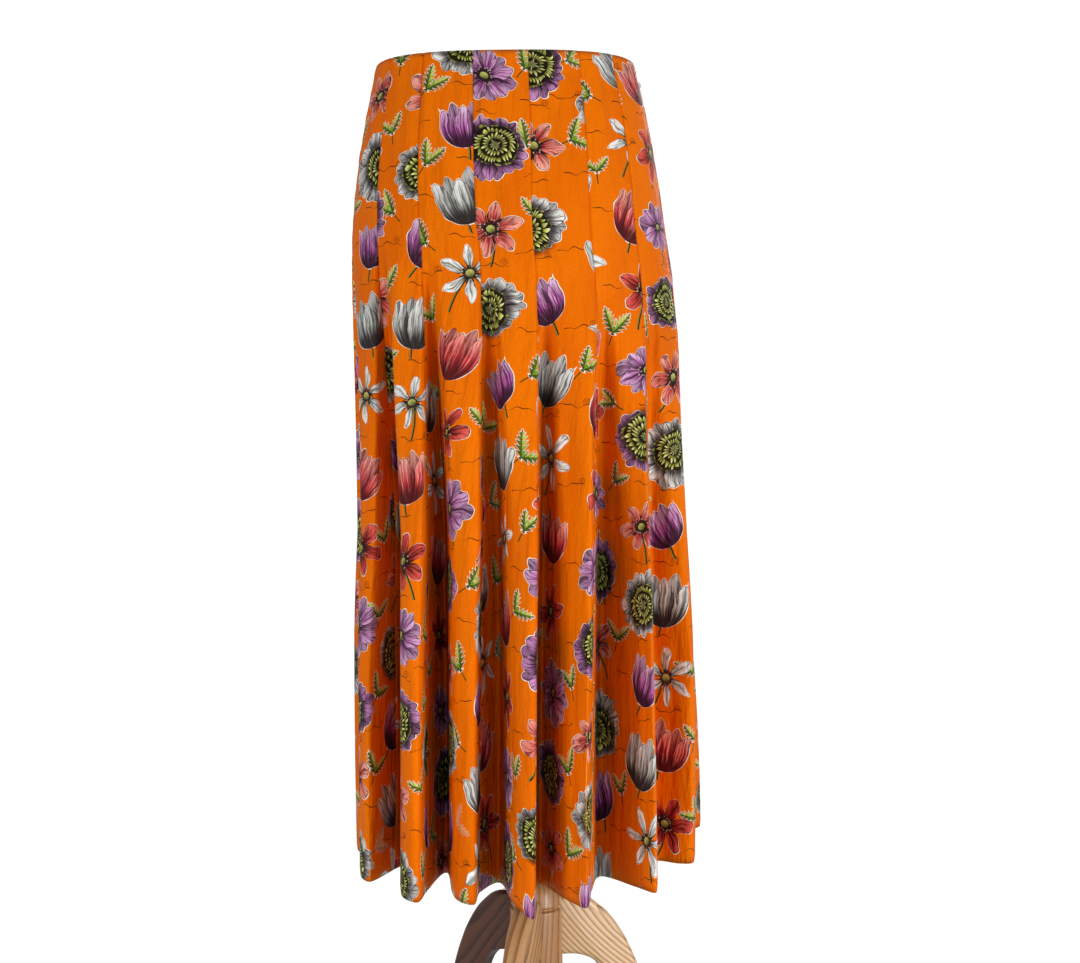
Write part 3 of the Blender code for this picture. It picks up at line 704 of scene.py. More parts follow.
@dataclass(frozen=True)
class Knit:
    """Fine knitted or woven cover, ribs up and down."""

    light: tuple[int, int, int] = (228, 219, 202)
    shade: tuple[int, int, int] = (196, 184, 164)
    pitch: float = 0.0011

    def material(self, name: str) -> bpy.types.Material:
        """Makes the cover's material from its place."""
        g = Graph(name)
        place = Wire(g, g.node("TexCoord").outputs["Object"])
        x, y, z = g.parts(place)
        turn = 2 * math.pi / self.pitch
        loops = (z * turn).sine() * ((x + y) * turn).sine()
        mottled = g.noise(place, 120.0, 3.0, 0.6)
        fuzz = g.noise(place, 2600.0, 1.0, 0.5)
        shade = loops.rise(0.2, -0.8) * 0.5 + mottled * 0.3
        colour = g.blend(shade, linear(*self.light), linear(*self.shade))
        return g.finish(
            Base_Color=colour, Roughness=0.86 + mottled * 0.1, Normal=g.bump(loops + fuzz * 0.6, 0.00012),
            Sheen_Weight=0.15, Sheen_Roughness=0.5,
        )


@dataclass(frozen=True)
class Metal:
    """Nickel-plated zip metal with fine scratches."""

    def material(self, name: str) -> bpy.types.Material:
        """Makes the metal."""
        g = Graph(name)
        place = Wire(g, g.node("TexCoord").outputs["Object"])
        scratch = g.noise(g.stretched(place, (400.0, 400.0, 4000.0)), 1.0, 3.0, 0.6)
        dull = g.noise(place, 500.0, 2.0, 0.5)
        colour = g.blend(dull.rise(0.45, 0.75) * 0.5, linear(206, 202, 192), linear(158, 152, 140))
        return g.finish(
            Base_Color=colour, Roughness=0.20 + scratch * 0.22, Normal=g.bump(scratch, 0.00002),
            Metallic=1.0,
        )


# ---- the cloth's surface -----------------------------------------------------------------------
BODY_ROWS = (  # depth, half_width, front, back, squareness, shift, in mm from the waist edge and pole
    (0, 124.0, 92.0, 92.0, 2.75, -21.0), (11, 125.5, 92.5, 92.5, 2.75, -21.0),
    (27, 129.0, 95.0, 95.5, 2.7, -21.0), (46, 133.5, 98.5, 99.5, 2.65, -20.5),
    (84, 140.5, 105.0, 108.0, 2.55, -20.5), (123, 146.0, 110.5, 116.0, 2.45, -20.0),
    (161, 150.0, 115.0, 121.0, 2.35, -19.0), (200, 153.0, 118.0, 124.0, 2.3, -16.0),
    (260, 153.5, 118.0, 124.0, 2.3, -12.5), (350, 149.5, 118.0, 124.0, 2.3, -11.0),
    (440, 147.0, 118.0, 124.0, 2.3, -8.2), (540, 151.0, 118.0, 124.0, 2.3, -8.0),
    (754, 151.0, 118.0, 124.0, 2.3, -6.0),
)
SEAM_ROWS = (  # share of the half girth from the centre front, at waist and hip
    (0.070, 0.056), (0.200, 0.178), (0.300, 0.290), (0.440, 0.428), (0.560, 0.560), (0.680, 0.690),
    (0.805, 0.815), (0.932, 0.940),
)
# seam_x, seam_out, valley_x, valley_out, shoulder_x, shoulder_out, crest_x, crest_out, start, dip, in mm
FOLD_ROWS = (
    (-49, 132, -34, 98, -17, 178, -3, 189, 205, 8),
    (-1, 142, 4, 104, 23, 150, 43, 178, 215, 2),
    (50, 128, 60, 80, 88, 116, 105, 139, 205, 0),
    (109, 92, 115, 25, 134, 36, 147, 36, 205, 0),
    (149, 10, 106, -8, 146, -26, 157, -46, 205, 0),
    (157, -58, 104, -66, 151, -94, 171, -121, 210, 0),
    (161, -132, 101, -95, 118, -150, 108, -177, 205, 0),
    (96, -180, 66, -96, 68, -152, 52, -187, 205, 2),
    (39, -187, 16, -100, 12, -156, -6, -190, 200, 0),
    (-19, -187, -32, -96, -44, -150, -61, -182, 205, 3),
    (-74, -175, -73, -88, -94, -132, -111, -158, 195, 0),
    (-122, -147, -101, -76, -133, -100, -155, -111, 185, 1),
    (-164, -97, -110, -44, -155, -58, -174, -45, 175, 0),
    (-171, -22, -128, 2, -162, 61, -151, 91, 165, 0),
    (-131, 46, -122, 28, -117, 144, -103, 158, 180, 1),
    (-96, 122, -83, 61, -68, 158, -54, 168, 190, 1),
)
KNOT_ACROSS = (0.0, 0.12, 0.27, 0.92, 1.0)  # how far across a panel its knots lie, up to the next seam
PANELS = (
    "centre_front", "front_right_1", "front_right_2", "front_right_3", "side_right", "back_right_3",
    "back_right_2", "back_right_1", "centre_back", "back_left_1", "back_left_2", "back_left_3",
    "side_left", "front_left_3", "front_left_2", "front_left_1",
)


class ClothSurface:
    """Middle of the cloth's wall, as a function of ring place and depth.

    A ring place is the panel's number plus how far across it the point lies, 0 to 1, and runs
    on past a seam into the next panel.
    """

    count = len(FOLD_ROWS)
    length = 754.0
    ease = 1.12
    lead = 1.5
    spread = 0.5
    fine = 50
    seam_turn = -3.0
    pole = Vector((-25.95, 26.12, 1040.0))

    def __init__(self) -> None:
        """Works out the hem's line and its flare once."""
        self.body = np.array(BODY_ROWS, dtype=float)
        self.seams = np.array(SEAM_ROWS, dtype=float)
        self.folds = np.array(FOLD_ROWS, dtype=float)
        starts = self.folds[:, 8]
        middle = 0.5 * (np.roll(starts, 1) + starts)
        self.starts = np.append(middle, middle[0])
        self.hem_place, self.hem_line = self.hem()
        self.flare_line = self.flare()

    @property
    def axis(self) -> Vector:
        """Foot of the pole's axis on the floor, in metres."""
        return Vector((self.pole.x * MM, self.pole.y * MM, 0.0))

    def hem(self, steps: int = 24) -> tuple[np.ndarray, np.ndarray]:
        """Hem as one smooth closed line through the seams, valleys, shoulders and crests."""
        knots = []
        for row in self.folds:
            for part in range(4):
                knots.append((row[2 * part], row[2 * part + 1], -row[9] if part == 3 else 0.0))
        knots = np.array(knots)
        place, line = [], []
        for i in range(len(knots)):
            panel, part = divmod(i, 4)
            low, high = KNOT_ACROSS[part : part + 2]
            four = [knots[(i + k) % len(knots)] for k in (-1, 0, 1, 2)]
            for step in range(steps):
                place.append(panel + low + (high - low) * step / steps)
                line.append(self.between(four, step / steps))
        place.append(float(self.count))
        line.append(line[0])
        return np.array(place), np.array(line)

    def flare(self) -> np.ndarray:
        """Hem line averaged round the ring: the flare that is left when its folds are taken out."""
        count = self.count * self.fine
        steps = np.arange(count)
        places = steps / self.fine
        ring = np.stack([np.interp(places, self.hem_place, self.hem_line[:, k]) for k in (0, 1)], axis=1)
        gap = np.minimum(steps, count - steps) / (self.spread * self.fine)
        weights = np.exp(-0.5 * gap * gap)
        spectrum = np.fft.fft(ring, axis=0) * np.fft.fft(weights / weights.sum())[:, None]
        mean = np.fft.ifft(spectrum, axis=0).real
        return np.concatenate([mean, mean[:1]])

    @staticmethod
    def between(four: Sequence[np.ndarray], share: float) -> np.ndarray:
        """Point of a centripetal spline between the second and third of four points."""
        knots = [0.0]
        for first, second in zip(four, four[1:]):
            knots.append(knots[-1] + max(np.linalg.norm(second - first), 1e-6) ** 0.5)
        at = knots[1] + (knots[2] - knots[1]) * share

        def mixed(first: np.ndarray, second: np.ndarray, low: int, high: int) -> np.ndarray:
            part = (at - knots[low]) / (knots[high] - knots[low])
            return first * (1.0 - part) + second * part

        first, middle, last = (mixed(four[i], four[i + 1], i, i + 1) for i in range(3))
        return mixed(mixed(first, middle, 0, 2), mixed(middle, last, 1, 3), 1, 2)

    @lru_cache(maxsize=4096)
    def section(self, depth: float, inset: float = 0.0) -> tuple[np.ndarray, np.ndarray, np.ndarray]:
        """Closed body section at a depth: x, out and girth so far."""
        half, front, back, square, shift = (
            np.interp(depth, self.body[:, 0], self.body[:, k]) for k in range(1, 6)
        )
        turn = np.linspace(0.0, 2.0 * math.pi, 721)
        sine, cosine = np.sin(turn), np.cos(turn)
        x = shift + (half - inset) * np.sign(sine) * np.abs(sine) ** (2.0 / square)
        reach = np.where(cosine > 0.0, front - inset, back - inset)
        out = reach * np.sign(cosine) * np.abs(cosine) ** (2.0 / square)
        return x, out, np.append(0.0, np.cumsum(np.hypot(np.diff(x), np.diff(out))))

    def shares(self, depth: float) -> np.ndarray:
        """Shares of the girth where the seams lie, the first again at the end."""
        mix = min(max(depth / 180.0, 0.0), 1.0)
        right = 0.5 * (self.seams[:, 0] * (1.0 - mix) + self.seams[:, 1] * mix)
        return np.concatenate([[-right[0]], right, 1.0 - right[::-1]])

    def on_body(self, place: np.ndarray, depth: float, inset: float = 0.0) -> np.ndarray:
        """Points of the body section, x and out, at ring places."""
        laps = np.floor(place / self.count)
        share = np.interp(place - laps * self.count, np.arange(self.count + 1), self.shares(depth)) + laps
        x, out, girth = self.section(depth, inset)
        length = np.mod(share * girth[-1] + self.seam_turn, girth[-1])
        return np.stack([np.interp(length, girth, x), np.interp(length, girth, out)], axis=-1)

    def points(self, place: np.ndarray, depth: float) -> np.ndarray:
        """Points in mm from the pole's axis and the waist edge, y towards the back.

        Args:
            place: ring places.
            depth: mm below the waist edge.

        Returns:
            One row of x, y, z for each place.
        """
        wrapped = np.mod(place, self.count)
        body = self.on_body(place, depth)
        start = np.interp(wrapped, np.arange(self.count + 1), self.starts)
        share = np.maximum(0.0, (depth - start) / (self.length - start)) ** self.ease
        hem = np.stack([np.interp(wrapped, self.hem_place, self.hem_line[:, k]) for k in range(3)], axis=-1)
        spots = np.arange(len(self.flare_line)) / self.fine
        flare = np.stack([np.interp(wrapped, spots, self.flare_line[:, k]) for k in (0, 1)], axis=-1)
        folds = share * (1.0 + self.lead * (1.0 - share))
        plan = body + (flare - body) * share[:, None] + (hem[:, :2] - flare) * folds[:, None]
        return np.stack([plan[:, 0], -plan[:, 1], -depth + hem[:, 2] * share], axis=-1)

    def normals(self, place: np.ndarray, depth: float) -> np.ndarray:
        """Outward normals at ring places."""
        step = self.points(place + 0.012, depth) - self.points(place - 0.012, depth)
        up = self.points(place, max(depth - 3.0, 0.0)) - self.points(place, min(depth + 3.0, self.length))
        normal = np.cross(step, up)
        return normal / np.linalg.norm(normal, axis=1, keepdims=True)

    @lru_cache(maxsize=1024)
    def runs(self, depth: float, steps: int = 80) -> np.ndarray:
        """Length so far along the cloth across every panel at a depth, in mm, one row a panel."""
        points = self.points(np.linspace(0.0, self.count, self.count * steps + 1), depth)
        lengths = np.linalg.norm(np.diff(points, axis=0), axis=1).reshape(self.count, steps)
        return np.concatenate([np.zeros((self.count, 1)), np.cumsum(lengths, axis=1)], axis=1)

    def placed(self, points: np.ndarray) -> np.ndarray:
        """Row-frame metres for points in mm from the pole's axis and the waist edge."""
        return (points + np.array(self.pole)) * MM


# ---- creases laid on the panels ------------------------------------------------------------------
@dataclass(frozen=True)
class Crease:
    """Soft ridge or, with a negative height, dip that runs down a panel. Depths and sizes in mm."""

    panel: int
    across: float
    drift: float
    top: float
    bottom: float
    width: float
    height: float

    def relief(self, across: np.ndarray, depth: float, panel_width: float) -> np.ndarray:
        """Height over the panel's plain surface."""
        span = self.bottom - self.top
        along = (depth - self.top) / span
        if not 0.0 < along < 1.0:
            return np.zeros_like(across)
        fade = math.sin(math.pi * along) ** 0.7
        middle = self.across + self.drift * along
        offset = (across - middle) * panel_width / (self.width * (0.7 + 0.6 * along))
        return self.height * fade * np.exp(-offset * offset) * (1.0 - 0.35 * np.tanh(offset * 2.0))


CREASES = tuple(
    Crease(*row)
    for row in (
        # panel, across, drift, top, bottom, width, height
        (0, 0.17, 0.01, 10, 100, 3.0, 3.4), (0, 0.55, 0.10, 30, 330, 9.0, 1.3),
        (0, 0.30, 0.06, 300, 690, 8.0, 1.6), (0, 0.74, -0.08, 420, 760, 9.0, 1.3),
        (0, 0.88, 0.02, 150, 420, 5.0, 0.7),
        (1, 0.22, 0.05, 12, 150, 7.0, -1.2), (1, 0.62, -0.12, 90, 380, 10.0, 0.9),
        (1, 0.40, 0.10, 340, 735, 11.0, 1.9), (1, 0.70, 0.06, 500, 765, 8.0, -1.4),
        (1, 0.55, 0.02, 610, 768, 7.0, 1.3),
        (2, 0.30, -0.05, 20, 210, 8.0, 0.8), (2, 0.70, 0.04, 120, 460, 9.0, -0.9),
        (2, 0.34, 0.12, 380, 752, 12.0, 1.8), (2, 0.62, -0.04, 540, 762, 8.0, 1.2),
        (3, 0.45, 0.06, 40, 300, 9.0, 0.9), (3, 0.25, 0.12, 330, 740, 10.0, 1.7),
        (3, 0.72, -0.06, 470, 770, 9.0, -1.5),
        (4, 0.35, 0.02, 190, 420, 8.0, -0.8), (4, 0.52, 0.10, 300, 756, 12.0, 1.9),
        (4, 0.80, -0.05, 520, 764, 8.0, 1.1),
        (5, 0.50, -0.08, 35, 260, 9.0, 0.9), (5, 0.30, 0.08, 350, 748, 10.0, -1.6),
        (5, 0.66, 0.04, 430, 770, 9.0, 1.6),
        (6, 0.24, 0.06, 15, 180, 7.0, 0.8), (6, 0.60, -0.10, 160, 520, 10.0, 1.2),
        (6, 0.42, 0.08, 480, 762, 9.0, 1.6),
        (7, 0.55, 0.05, 50, 310, 9.0, -0.8), (7, 0.32, 0.10, 330, 700, 11.0, 1.8),
        (7, 0.76, -0.05, 560, 768, 8.0, 1.3),
        (8, 0.40, 0.04, 22, 170, 8.0, 0.8), (8, 0.66, -0.06, 240, 600, 10.0, 1.4),
        (8, 0.30, 0.10, 420, 758, 10.0, -1.5),
        (9, 0.28, 0.08, 60, 290, 8.0, 0.9), (9, 0.58, 0.02, 300, 742, 11.0, 1.7),
        (9, 0.80, -0.06, 590, 766, 7.0, 1.2),
        (10, 0.50, -0.05, 30, 220, 9.0, -0.8), (10, 0.36, 0.10, 310, 690, 10.0, 1.7),
        (10, 0.70, 0.02, 520, 770, 9.0, -1.3),
        (11, 0.34, 0.06, 45, 280, 8.0, 0.8), (11, 0.64, -0.08, 260, 640, 11.0, 1.5),
        (11, 0.46, 0.06, 500, 764, 9.0, 1.4),
        (12, 0.55, 0.06, 18, 190, 9.0, 0.8), (12, 0.28, 0.10, 320, 735, 10.0, -1.6),
        (12, 0.72, -0.04, 440, 768, 9.0, 1.5),
        (13, 0.40, -0.04, 32, 240, 8.0, 0.9), (13, 0.62, 0.06, 250, 610, 11.0, 1.6),
        (13, 0.34, 0.06, 470, 762, 9.0, 1.5),
        (14, 0.26, 0.06, 14, 130, 6.0, -0.8), (14, 0.58, 0.06, 110, 430, 9.0, 1.1),
        (14, 0.36, 0.12, 360, 745, 10.0, 1.7), (14, 0.82, -0.04, 560, 768, 7.0, 1.2),
        (15, 0.62, -0.04, 16, 220, 8.0, 1.5), (15, 0.34, 0.08, 180, 520, 10.0, 1.2),
        (15, 0.50, 0.08, 430, 764, 10.0, 1.6), (15, 0.80, -0.06, 520, 770, 7.0, -1.0),
    )
)


# ---- pieces ------------------------------------------------------------------------------------
def to_object(
    bm: bmesh.types.BMesh, name: str, materials: Sequence[bpy.types.Material], smooth: bool = True
) -> bpy.types.Object:
    """Turns a bmesh into a scene object with its materials.

    Args:
        bm: the mesh, which is freed.
        name: the piece's name.
        materials: its material slots in order.
        smooth: whether its faces are shaded smooth.

    Returns:
        The new object.
    """
    mesh = bpy.data.meshes.new(name)
    for face in bm.faces:
        face.smooth = smooth
    bm.to_mesh(mesh)
    bm.free()
    for material in materials:
        mesh.materials.append(material)
    obj = bpy.data.objects.new(name, mesh)
    bpy.context.scene.collection.objects.link(obj)
    return obj


def keep(obj: bpy.types.Object, body: str, node: str) -> None:
    """Rides a piece on its body, and lets it stand for its node."""
    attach(obj, body)
    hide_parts(node)
    LOG.info("%s: %d faces on %s", obj.name, len(obj.data.polygons), body)


@dataclass
class Skirt:
    """The sixteen panels as thin shells with turned edges at waist and hem.

    The thickness is in metres, the other lengths in mm. `across` counts the points of one row and
    `down` the rows between the turned edges.
    """

    surface: ClothSurface
    printed: FloralPrint
    across: int = 45
    down: int = 132
    beside_seam: tuple[float, ...] = (0.0, 0.45, 0.95, 1.7)
    seam_zone: float = 3.3
    thickness: float = 0.00055
    hem_turn: float = 10.0
    waist_turn: float = 9.0
    turn_gap: float = 1.05
    turned_rows: int = 5
    crease_clear: float = 5.0
    seam_dip: float = 1.15
    dip_width: float = 0.85
    pucker: float = 0.22
    pucker_at: float = 2.4
    pucker_width: float = 3.2

    def stations(self, panel: int) -> np.ndarray:
        """Places across a panel that lie closer where its hem bends most."""
        fine = np.linspace(0.0, 1.0, 241)
        hem = [np.interp(panel + fine, self.surface.hem_place, self.surface.hem_line[:, k]) for k in (0, 1)]
        heading = np.unwrap(np.arctan2(np.diff(hem[1]), np.diff(hem[0])))
        bend = np.abs(np.gradient(heading))
        run = np.hypot(np.diff(hem[0]), np.diff(hem[1]))
        weight = bend / bend.sum() * 0.4 + run / run.sum() * 0.4 + 0.2 / len(bend)
        weight = np.append(0.0, np.cumsum(weight))
        steps = np.linspace(0.0, 1.0, self.across - 2 * len(self.beside_seam))
        return np.interp(steps, weight / weight[-1], fine)

    def line(self, panel: int, picked: np.ndarray, depth: float) -> tuple[np.ndarray, np.ndarray]:
        """Places across a panel at a depth, four of them at fixed distances from each seam.

        Args:
            panel: the panel's number.
            picked: the places between, as if the panel began and ended beside its seams.
            depth: mm below the waist edge.

        Returns:
            The places, and the cloth's length from the first seam to each, in mm.
        """
        run = self.surface.runs(depth)[panel]
        fine = np.linspace(0.0, 1.0, len(run))
        near = np.array(self.beside_seam)
        low, high = np.interp((self.seam_zone, run[-1] - self.seam_zone), run, fine)
        begins, ends = np.interp(near, run, fine), np.interp(run[-1] - near[::-1], run, fine)
        across = np.concatenate([begins, low + (high - low) * picked, ends])
        return across, np.interp(across, fine, run)

    def rows(self) -> list[tuple[float, float]]:
        """Depth and inward offset of every row, from the waist's turned edge to the hem's."""
        inside, low = self.turn_gap, self.surface.length
        depths = np.linspace(0.0, 1.0, self.down)
        depths = low * (depths * 0.86 + 0.14 * depths**2)
        rounded = [(0.0, inside * 0.5), (0.35, inside * 0.85), (1.2, inside)]
        top = [*rounded, (self.waist_turn * 0.5, inside), (self.waist_turn, inside)]
        end = [*rounded, (self.hem_turn * 0.5, inside), (self.hem_turn, inside)]
        plain = [(float(d), 0.0) for d in depths[1:-1]]
        return [*top[::-1], *plain, *((low - depth, offset) for depth, offset in end)]

    def relief(self, panel: int, length: np.ndarray, depth: float) -> np.ndarray:
        """Height of creases, seam dips and puckers over the plain surface, in mm."""
        width = length[-1]
        across = length / width
        height = np.zeros_like(across)
        for crease in CREASES:
            if crease.panel == panel:
                height = height + crease.relief(across, depth, width)
        from_seam = np.minimum(across, 1.0 - across) * width
        height *= np.clip(from_seam / self.crease_clear, 0.0, 1.0)
        height -= self.seam_dip * np.exp(-((from_seam / self.dip_width) ** 2))
        side = np.where(across < 0.5, panel, panel + 1)
        beat = np.sin(depth / 3.1 + side * 1.9) + 0.7 * np.sin(depth / 5.3 + side * 2.7 + 1.0)
        height += self.pucker * beat * np.exp(-((from_seam - self.pucker_at) / self.pucker_width) ** 2)
        return height

    def panel(self, number: int, materials: Sequence[bpy.types.Material]) -> None:
        """Builds one panel: a flat grid, laid on the surface and mapped with its flat cut."""
        surface = self.surface
        picked = self.stations(number)
        rows = self.rows()
        spots, cuts = [], []
        for depth, inside in rows:
            across, length = self.line(number, picked, depth)
            place = number + across
            height = self.relief(number, length, depth) - inside
            points = surface.points(place, depth) + surface.normals(place, depth) * height[:, None]
            spots.append(surface.placed(points))
            cut = [length - length[-1] / 2.0, np.full_like(length, depth)]
            cuts.append(np.stack(cut, axis=-1) * MM)
        wide, high = len(spots[0]), len(rows)
        bm = bmesh.new()
        bmesh.ops.create_grid(bm, x_segments=wide - 1, y_segments=high - 1, size=0.5)
        flat = bm.loops.layers.uv.new("flat_cut")
        bm.verts.index_update()
        order = {}
        for vert in bm.verts:
            column = round((vert.co.x + 0.5) * (wide - 1))
            row = round((0.5 - vert.co.y) * (high - 1))
            order[vert.index] = (row, column)
            vert.co = Vector(spots[row][column])
        shift = PRINT_SHIFTS[number]
        turned_top, turned_low = self.turned_rows, high - self.turned_rows
        for face in bm.faces:
            for loop in face.loops:
                row, column = order[loop.vert.index]
                u, v = cuts[row][column]
                if row < turned_top:
                    v = -v
                elif row >= turned_low:
                    v = 2.0 * surface.length * MM - v
                loop[flat].uv = (u + shift[0], v + shift[1])
        bmesh.ops.recalc_face_normals(bm, faces=bm.faces)
        middle = surface.axis + Vector((0.0, 0.0, 0.6))
        if sum(f.normal.dot(f.calc_center_median() - middle) for f in bm.faces) < 0.0:
            bmesh.ops.reverse_faces(bm, faces=bm.faces)
        obj = to_object(bm, f"panel_{number:02d}_{PANELS[number]}", materials)
        wall = obj.modifiers.new("cloth", "SOLIDIFY")
        wall.thickness = self.thickness
        wall.offset = 0.0
        wall.material_offset = 1
        wall.material_offset_rim = 0
        keep(obj, MAIN_BODY, f"gore_{number:02d}")
        self.declare(number)

    def declare(self, number: int) -> None:
        """Works out the panel's width down its length; the widths are not used."""
        depths = np.linspace(0.0, self.surface.length, 41)
        widths = np.array([self.surface.runs(float(d))[number, -1] for d in depths])

    def build(self) -> None:
        """Builds every panel."""
        materials = [
            self.printed.material("printed_cloth", wrong_side=False),
            self.printed.material("printed_cloth_inside", wrong_side=True),
        ]
        for number in range(self.surface.count):
            self.panel(number, materials)


# Where each panel's cut falls on the print, in metres.
PRINT_SHIFTS = (
    (0.052, 0.010), (0.291, 0.236), (0.467, 0.118), (0.712, 0.402), (0.905, 0.077), (1.168, 0.310),
    (1.327, 0.181), (1.593, 0.049), (1.804, 0.263), (2.021, 0.377), (2.260, 0.132), (2.443, 0.288),
    (2.716, 0.021), (2.905, 0.198), (3.122, 0.344), (3.289, 0.160),
)


@dataclass
class HipForm:
    """Padded hip block under its cover, on a wooden pole."""

    surface: ClothSurface
    clear: float = 2.6
    around: int = 144
    rows: tuple[tuple[float, float], ...] = (
        (4, 12.0), (4, 7.5), (4.3, 4.4), (5.2, 2.2), (7, 0.7), (10, 0.0), (27, 0.0), (46, 0.0),
        (84, 0.0), (123, 0.0), (150, 0.0), (175, 2.0), (200, 7.0), (225, 14.0), (248, 22.0),
        (264, 31.0), (274, 42.0), (279, 56.0), (279.2, 74.0),
    )
    pole_radius: float = 0.015
    pole_edge: float = 0.0012

    def ring(self, depth: float, inset: float) -> list[Vector]:
        """Points of one ring in the row frame."""
        x, out, girth = self.surface.section(depth, self.clear + inset)
        length = np.mod(np.linspace(0.0, 1.0, self.around, endpoint=False) * girth[-1], girth[-1])
        plan = np.interp(length, girth, x), -np.interp(length, girth, out)
        spots = np.stack([*plan, np.full_like(length, -depth)], axis=-1)
        return [Vector(p) for p in self.surface.placed(spots)]

    def block(self) -> None:
        """Lofts the block: one ring, extruded and reshaped row by row, its ends closed inwards."""
        bm = bmesh.new()
        first = [bm.verts.new(p) for p in self.ring(*self.rows[0])]
        edges = [bm.edges.new((a, b)) for a, b in zip(first, first[1:] + first[:1])]
        cap = bmesh.ops.edgeloop_fill(bm, edges=edges)["faces"]
        ring = first
        for depth, inset in self.rows[1:]:
            grown = bmesh.ops.extrude_edge_only(bm, edges=edges)["geom"]
            fresh = [g for g in grown if isinstance(g, bmesh.types.BMVert)]
            grown = [g for g in grown if isinstance(g, bmesh.types.BMEdge)]
            edges = [g for g in grown if all(v in fresh for v in g.verts)]
            ring = self.matched(ring, fresh)
            for vert, spot in zip(ring, self.ring(depth, inset)):
                vert.co = spot
        cap += bmesh.ops.edgeloop_fill(bm, edges=edges)["faces"]
        for face in cap:
            bmesh.ops.inset_region(bm, faces=[face], thickness=0.02)
        bmesh.ops.recalc_face_normals(bm, faces=bm.faces)
        obj = to_object(bm, "hip_form_block", [Knit().material("form_cover")])
        keep(obj, MAIN_BODY, "form_block")

    @staticmethod
    def matched(
        ring: list[bmesh.types.BMVert], fresh: list[bmesh.types.BMVert]
    ) -> list[bmesh.types.BMVert]:
        """New vertices in the order of the ring that they grew from."""
        pool = set(fresh)
        ordered = []
        for vert in ring:
            near = [e.other_vert(vert) for e in vert.link_edges if e.other_vert(vert) in pool]
            ordered.append(near[0] if near else vert)
        return ordered

    def pole(self) -> None:
        """Turned pole between the block and the hub."""
        x, y, _ = self.surface.axis
        low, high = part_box("form_pole")[0][2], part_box("form_pole")[1][2]
        bm = bmesh.new()
        radius = self.pole_radius
        bmesh.ops.create_cone(
            bm, cap_ends=True, segments=72, radius1=radius, radius2=radius, depth=high - low
        )
        rims = [e for e in bm.edges if abs(e.verts[0].co.z - e.verts[1].co.z) < 1e-6]
        bmesh.ops.bevel(
            bm, geom=rims, offset=self.pole_edge, segments=3, profile=0.5, affect="EDGES", material=-1
        )
        bmesh.ops.translate(bm, verts=bm.verts, vec=(x, y, (low + high) / 2.0))
        finish = Wood(centre=(x, y, 0.4), ring=0.0048)
        obj = to_object(bm, "form_pole_turned", [finish.material("pole_wood")])
        keep(obj, MAIN_BODY, "form_pole")

    def build(self) -> None:
        """Builds the block and the pole."""
        self.block()
        self.pole()


HUB_ROWS = (  # radius and height above the groove, in mm
    (0.0, 25.0), (9.0, 25.0), (12.5, 24.8), (15.5, 23.7), (17.6, 21.9), (19.3, 19.6), (20.6, 16.8),
    (21.7, 13.4), (22.6, 9.8), (23.3, 6.4), (23.9, 4.1), (24.2, 2.7), (24.1, 1.7), (23.5, 1.0),
    (22.4, 0.55), (21.75, 0.1), (21.6, -0.7), (22.0, -1.3), (23.0, -1.9), (24.3, -2.3),
    (24.9, -3.0), (25.0, -4.2), (25.0, -60.0), (24.7, -63.0), (23.4, -65.6), (20.6, -67.8),
    (16.0, -69.0), (8.0, -69.8), (0.0, -70.0),
)
# Edges of a leg: distance from the hub's axis and height above the groove, in mm. The outer one runs
# down to the foot and the inner one back up.
LEG_OUTER = (
    (16, 9), (36, 9.5), (50, 5.5), (60, -1.5), (70, -10.5), (79, -22), (87.5, -35.5), (94, -49),
    (99.5, -62), (105, -78), (111, -96), (119, -117), (131, -140), (148, -163), (170, -183),
    (196, -198), (222, -208), (240, -214), (247, -221), (249, -229),
)
LEG_INNER = (
    (248, -239), (205, -239), (180, -236), (155, -228), (132, -214), (112, -194), (96, -169),
    (86, -143), (79, -118), (74, -97), (69.5, -80), (63, -65), (54.5, -55.5), (45, -51),
    (34, -48.5), (16, -48),
)


class LegSide(Enum):
    """Legs: the node's ending, the turn from the front in degrees, and what sets its wood apart: painted
    shade on the left leg, painted light and a grain of its own on the right.
    """

    FRONT = ("front", -15.0, {})
    RIGHT = (
        "right", 105.0,
        # Paler wood as painted light, with steeper, closer growth rings of its own.
        {"pale": (220, 184, 140), "deep": (138, 90, 52), "board": (196, 150, 104), "tilt": 0.36,
         "ring": 0.0042},
    )
    # Much darker wood: painted shade.
    LEFT = ("left", 228.0, {"pale": (94, 58, 42), "deep": (48, 27, 20), "board": (66, 38, 27)})


